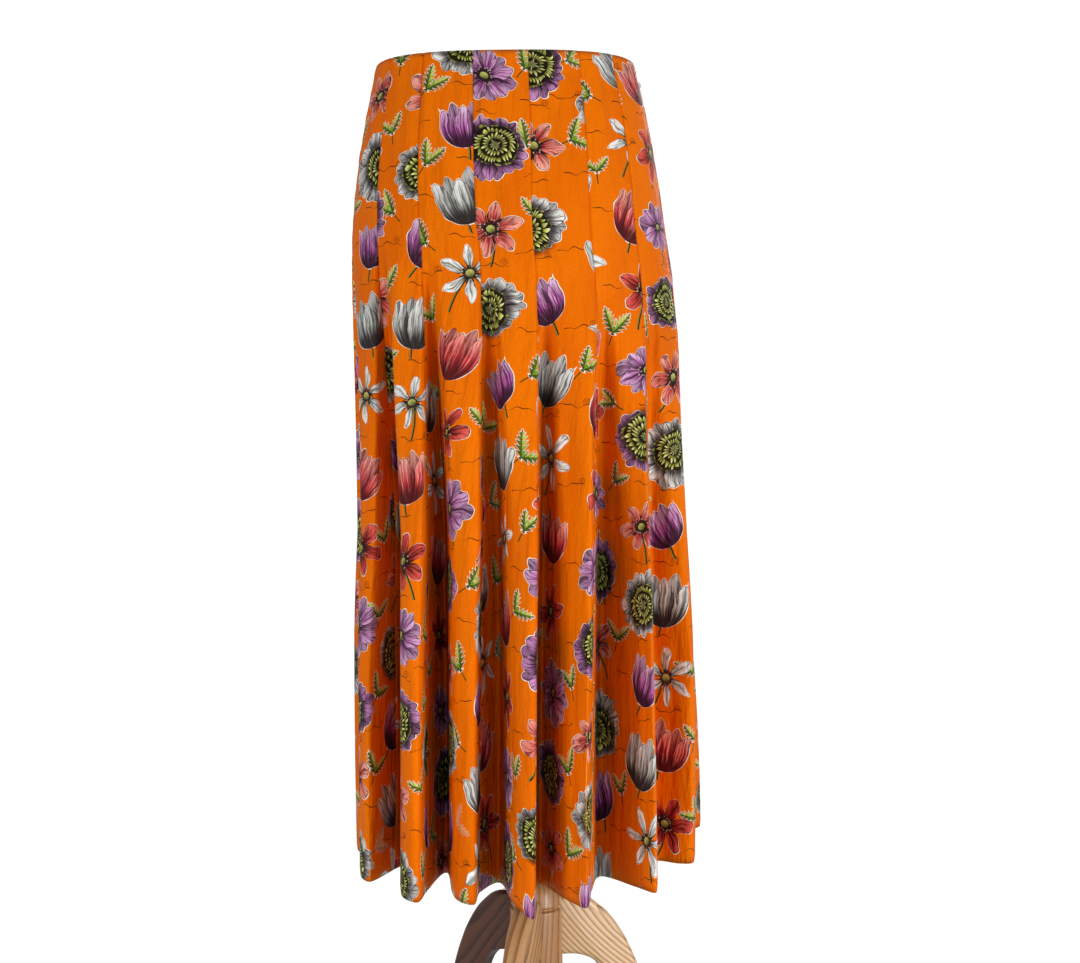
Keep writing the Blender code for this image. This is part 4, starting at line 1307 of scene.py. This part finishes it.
@dataclass
class TripodStand:
    """Turned hub with three bent legs sawn from board, their edges rounded over."""

    surface: ClothSurface
    groove: float = 0.239
    thickness: float = 0.022
    edge: float = 0.006
    grain_lean: float = 52.0

    @property
    def centre(self) -> Vector:
        """Middle of the hub at its groove."""
        return self.surface.axis + Vector((0.0, 0.0, self.groove))

    def hub(self) -> None:
        """Spins the hub's profile and closes its doubles."""
        c = self.centre
        bm = bmesh.new()
        verts = [bm.verts.new((c.x + r * MM, c.y, c.z + h * MM)) for r, h in HUB_ROWS]
        edges = [bm.edges.new(pair) for pair in zip(verts, verts[1:])]
        bmesh.ops.spin(
            bm, geom=verts + edges, cent=(c.x, c.y, 0.0), axis=(0, 0, 1), angle=2.0 * math.pi,
            steps=96, use_merge=True,
        )
        bmesh.ops.remove_doubles(bm, verts=bm.verts, dist=1e-6)
        bmesh.ops.recalc_face_normals(bm, faces=bm.faces)
        finish = Wood(centre=tuple(c), ring=0.0056, turn=0.5)
        obj = to_object(bm, "stand_hub_turned", [finish.material("hub_wood")])
        keep(obj, MAIN_BODY, "stand_hub")

    def leg(self, side: LegSide) -> None:
        """Saws one leg from its outline and rounds its edges."""
        ending, degrees, grain_and_painted_shading = side.value
        turn = math.radians(degrees)
        outward = Vector((math.sin(turn), -math.cos(turn), 0.0))
        across = Vector((math.cos(turn), math.sin(turn), 0.0))
        bm = bmesh.new()
        outline = self.smoothed(LEG_OUTER) + self.smoothed(LEG_INNER)
        base = self.centre - across * self.thickness / 2.0
        verts = [bm.verts.new(base + outward * r * MM + Vector((0.0, 0.0, h * MM))) for r, h in outline]
        face = bm.faces.new(verts)
        raised = bmesh.ops.extrude_face_region(bm, geom=[face])["geom"]
        raised = [v for v in raised if isinstance(v, bmesh.types.BMVert)]
        bmesh.ops.translate(bm, verts=raised, vec=across * self.thickness)
        bmesh.ops.recalc_face_normals(bm, faces=bm.faces)
        rims = [
            e for e in bm.edges if len(e.link_faces) == 2 and max(len(f.verts) for f in e.link_faces) > 4
        ]
        bmesh.ops.bevel(
            bm, geom=rims, offset=self.edge, segments=5, profile=0.5, affect="EDGES", material=-1
        )
        centre, lean = tuple(self.centre + outward * 0.06), math.radians(self.grain_lean)
        finish = replace(Wood(centre=centre, turn=turn, lean=lean, ring=0.0075), **grain_and_painted_shading)
        obj = to_object(bm, f"stand_leg_{ending}_sawn", [finish.material(f"leg_wood_{ending}")])
        keep(obj, MAIN_BODY, f"stand_leg_{ending}")

    @staticmethod
    def smoothed(points: Sequence[tuple[float, float]], steps: int = 3) -> list[tuple[float, float]]:
        """Line through the points with points added on its curve."""
        ends = [points[0], *points, points[-1]]
        line = []
        for i in range(1, len(ends) - 2):
            a, b, c, d = (Vector((*p, 0.0)) for p in ends[i - 1 : i + 3])
            for k in range(steps):
                t = k / steps
                bent = (2 * a - 5 * b + 4 * c - d) * t**2 + (3 * b - 3 * c + d - a) * t**3
                spot = 0.5 * ((2 * b) + (c - a) * t + bent)
                line.append((spot.x, spot.y))
        line.append(points[-1])
        return line

    def build(self) -> None:
        """Builds the hub and the legs."""
        self.hub()
        for side in LegSide:
            self.leg(side)


@dataclass
class SideZip:
    """Tape, slider and pull of the zip in the side seam."""

    surface: ClothSurface
    seam: int = 5
    top: float = 6.0
    length: float = 180.0
    width: float = 22.0
    behind: float = 1.35

    def refined(
        self, node: str, name: str, body: str, bevel: float, material: bpy.types.Material
    ) -> None:
        """Copies a small solid, merges its corners and rounds its edges."""
        bm = bmesh.new()
        bm.from_mesh(bpy.data.objects[node].data)
        bmesh.ops.remove_doubles(bm, verts=bm.verts, dist=1e-6)
        bmesh.ops.dissolve_limit(
            bm, angle_limit=math.radians(3.0), use_dissolve_boundaries=False, verts=bm.verts,
            edges=bm.edges,
        )
        limit = math.radians(50.0)
        sharp = [e for e in bm.edges if len(e.link_faces) == 2 and e.calc_face_angle(0.0) > limit]
        bmesh.ops.bevel(
            bm, geom=sharp, offset=bevel, segments=3, profile=0.5, affect="EDGES", material=-1,
            clamp_overlap=True,
        )
        obj = to_object(bm, name, [material])
        keep(obj, body, node)

    def tape(self, material: bpy.types.Material) -> None:
        """Lays the tape inside the seam, from a flat grid."""
        rows, columns = 37, 13
        bm = bmesh.new()
        bmesh.ops.create_grid(bm, x_segments=columns - 1, y_segments=rows - 1, size=0.5)
        for vert in bm.verts:
            depth = self.top + (0.5 - vert.co.y) * self.length
            girth = self.surface.section(depth)[2][-1]
            across = vert.co.x * self.width
            shares = self.surface.shares(depth)
            per_mm = 1.0 / (girth * (shares[self.seam] - shares[self.seam - 1]))
            place = np.array([self.seam + across * per_mm])
            inwards = self.surface.normals(place, depth) * self.behind
            spot = self.surface.points(place, depth) - inwards
            vert.co = Vector(self.surface.placed(spot)[0])
        bmesh.ops.recalc_face_normals(bm, faces=bm.faces)
        obj = to_object(bm, "zip_tape_woven", [material])
        wall = obj.modifiers.new("tape", "SOLIDIFY")
        wall.thickness = 0.0005
        wall.offset = 0.0
        keep(obj, MAIN_BODY, "zip_tape")

    def build(self) -> None:
        """Builds the tape and refines the slider and pull."""
        metal = Metal().material("zip_nickel")
        weave = Knit(light=(236, 112, 30), shade=(190, 74, 14), pitch=0.0007)
        self.tape(weave.material("zip_tape_weave"))
        self.refined("zip_slider", "zip_slider_cast", MAIN_BODY, 0.00018, metal)
        self.refined("zip_pull", "zip_pull_tab", PULL_BODY, 0.00022, metal)


# ---- studio --------------------------------------------------------------------------------------
@dataclass
class Studio:
    """Pale floor, soft light and the photograph's viewpoint.

    The frame's width, the pole's column and the frame's drop are in pixels of the photograph.
    """

    surface: ClothSurface
    distance: float = 1.60
    eye: float = 0.6765
    lens: float = 55.4
    frame_width: float = 1080.0
    pole_column: float = 531.2
    frame_drop: float = -31.5
    roll: float = -0.6
    air_light: float = 0.37
    air_seen: float = 1.1
    lit_height: float = 0.55

    def floor(self) -> None:
        """Wide pale floor."""
        g = Graph("studio_floor")
        place = Wire(g, g.node("TexCoord").outputs["Object"])
        grain = g.noise(place, 6.0, 2.0, 0.5)
        colour = g.blend(grain * 0.2, linear(110, 110, 110), linear(100, 100, 100))
        material = g.finish(
            Base_Color=colour, Roughness=0.9, Emission_Color=(1.0, 1.0, 1.0, 1.0), Emission_Strength=0.93
        )
        bm = bmesh.new()
        bmesh.ops.create_circle(bm, cap_ends=True, segments=96, radius=30.0)
        obj = to_object(bm, "studio_floor", [material], smooth=False)
        obj.visible_diffuse = False
        obj.visible_glossy = False

    def sun(self, name: str, turn: float, height: float, strength: float, spread: float) -> None:
        """Soft sun from a direction.

        Args:
            name: the light's name.
            turn: degrees from the front, towards the viewer's right.
            height: degrees above the horizon.
            strength: light on a face square to it.
            spread: width of the soft source in degrees.
        """
        data = bpy.data.lights.new(name, "SUN")
        data.energy = strength
        data.angle = math.radians(spread)
        obj = bpy.data.objects.new(name, data)
        a, e = math.radians(turn), math.radians(height)
        towards = Vector((math.sin(a) * math.cos(e), -math.cos(a) * math.cos(e), math.sin(e)))
        obj.rotation_mode = "QUATERNION"
        obj.rotation_quaternion = towards.to_track_quat("Z", "Y")
        bpy.context.scene.collection.objects.link(obj)

    def softbox(
        self, name: str, turn: float, away: float, height: float, size: float, power: float
    ) -> None:
        """Square soft light that faces the skirt's middle.

        Args:
            name: the light's name.
            turn: degrees from the front, towards the viewer's right.
            away: distance from the pole, in metres.
            height: height of its middle above the floor.
            size: side of the square.
            power: in watts.
        """
        data = bpy.data.lights.new(name, "AREA")
        data.size = size
        data.energy = power
        obj = bpy.data.objects.new(name, data)
        a = math.radians(turn)
        obj.location = self.surface.axis + Vector((math.sin(a) * away, -math.cos(a) * away, height))
        obj.rotation_mode = "QUATERNION"
        towards = obj.location - self.surface.axis - Vector((0.0, 0.0, self.lit_height))
        obj.rotation_quaternion = towards.to_track_quat("Z", "Y")
        bpy.context.scene.collection.objects.link(obj)

    def lights(self) -> None:
        """Low soft boxes to the left and right, and weak suns in front, above and behind."""
        self.softbox("key", -36.0, 1.6, 0.50, 0.6, 12.0)
        self.softbox("fill", 52.0, 1.7, 0.44, 0.9, 21.0)
        self.sun("front", 6.0, 4.0, 0.20, 40.0)
        self.sun("top", 0.0, 86.0, 0.5, 50.0)
        self.sun("rear", 170.0, 14.0, 1.3, 40.0)
        world = bpy.data.worlds.new("studio_air")
        world.use_nodes = True
        nodes, links = world.node_tree.nodes, world.node_tree.links
        lit, seen = nodes["Background"], nodes.new("ShaderNodeBackground")
        for air, strength in ((lit, self.air_light), (seen, self.air_seen)):
            air.inputs["Color"].default_value = (1.0, 1.0, 1.0, 1.0)
            air.inputs["Strength"].default_value = strength
        path = nodes.new("ShaderNodeLightPath")
        mix = nodes.new("ShaderNodeMixShader")
        links.new(path.outputs["Is Camera Ray"], mix.inputs[0])
        links.new(lit.outputs[0], mix.inputs[1])
        links.new(seen.outputs[0], mix.inputs[2])
        links.new(mix.outputs[0], nodes["World Output"].inputs["Surface"])
        bpy.context.scene.world = world
        bpy.context.scene.view_settings.view_transform = "Standard"

    def camera(self) -> None:
        """Camera at the photograph's place, for a frame of 1080 by 963."""
        data = bpy.data.cameras.new("photo_camera")
        data.sensor_width = 36.0
        data.lens = self.lens
        data.shift_x = (self.frame_width / 2.0 - self.pole_column) / self.frame_width
        data.shift_y = self.frame_drop / self.frame_width
        data.clip_end = 100.0
        obj = bpy.data.objects.new("photo_camera", data)
        spot = self.surface.axis + Vector((0.0, -self.distance, self.eye))
        level = Matrix.Rotation(math.radians(90.0), 4, "X")
        roll = Matrix.Rotation(math.radians(self.roll), 4, "Z")
        obj.matrix_world = Matrix.Translation(spot) @ level @ roll
        bpy.context.scene.collection.objects.link(obj)
        bpy.context.scene.camera = obj

    def build(self) -> None:
        """Sets up the whole studio."""
        self.floor()
        self.lights()
        self.camera()


def main() -> None:
    """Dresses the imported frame."""
    logging.basicConfig(level=logging.INFO, format="%(message)s")
    for obj in list(bpy.data.objects):
        bpy.data.objects.remove(obj)
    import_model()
    surface = ClothSurface()
    Studio(surface).build()
    Skirt(surface, FloralPrint()).build()
    HipForm(surface).build()
    TripodStand(surface).build()
    SideZip(surface).build()


if __name__ == "__main__":
    main()
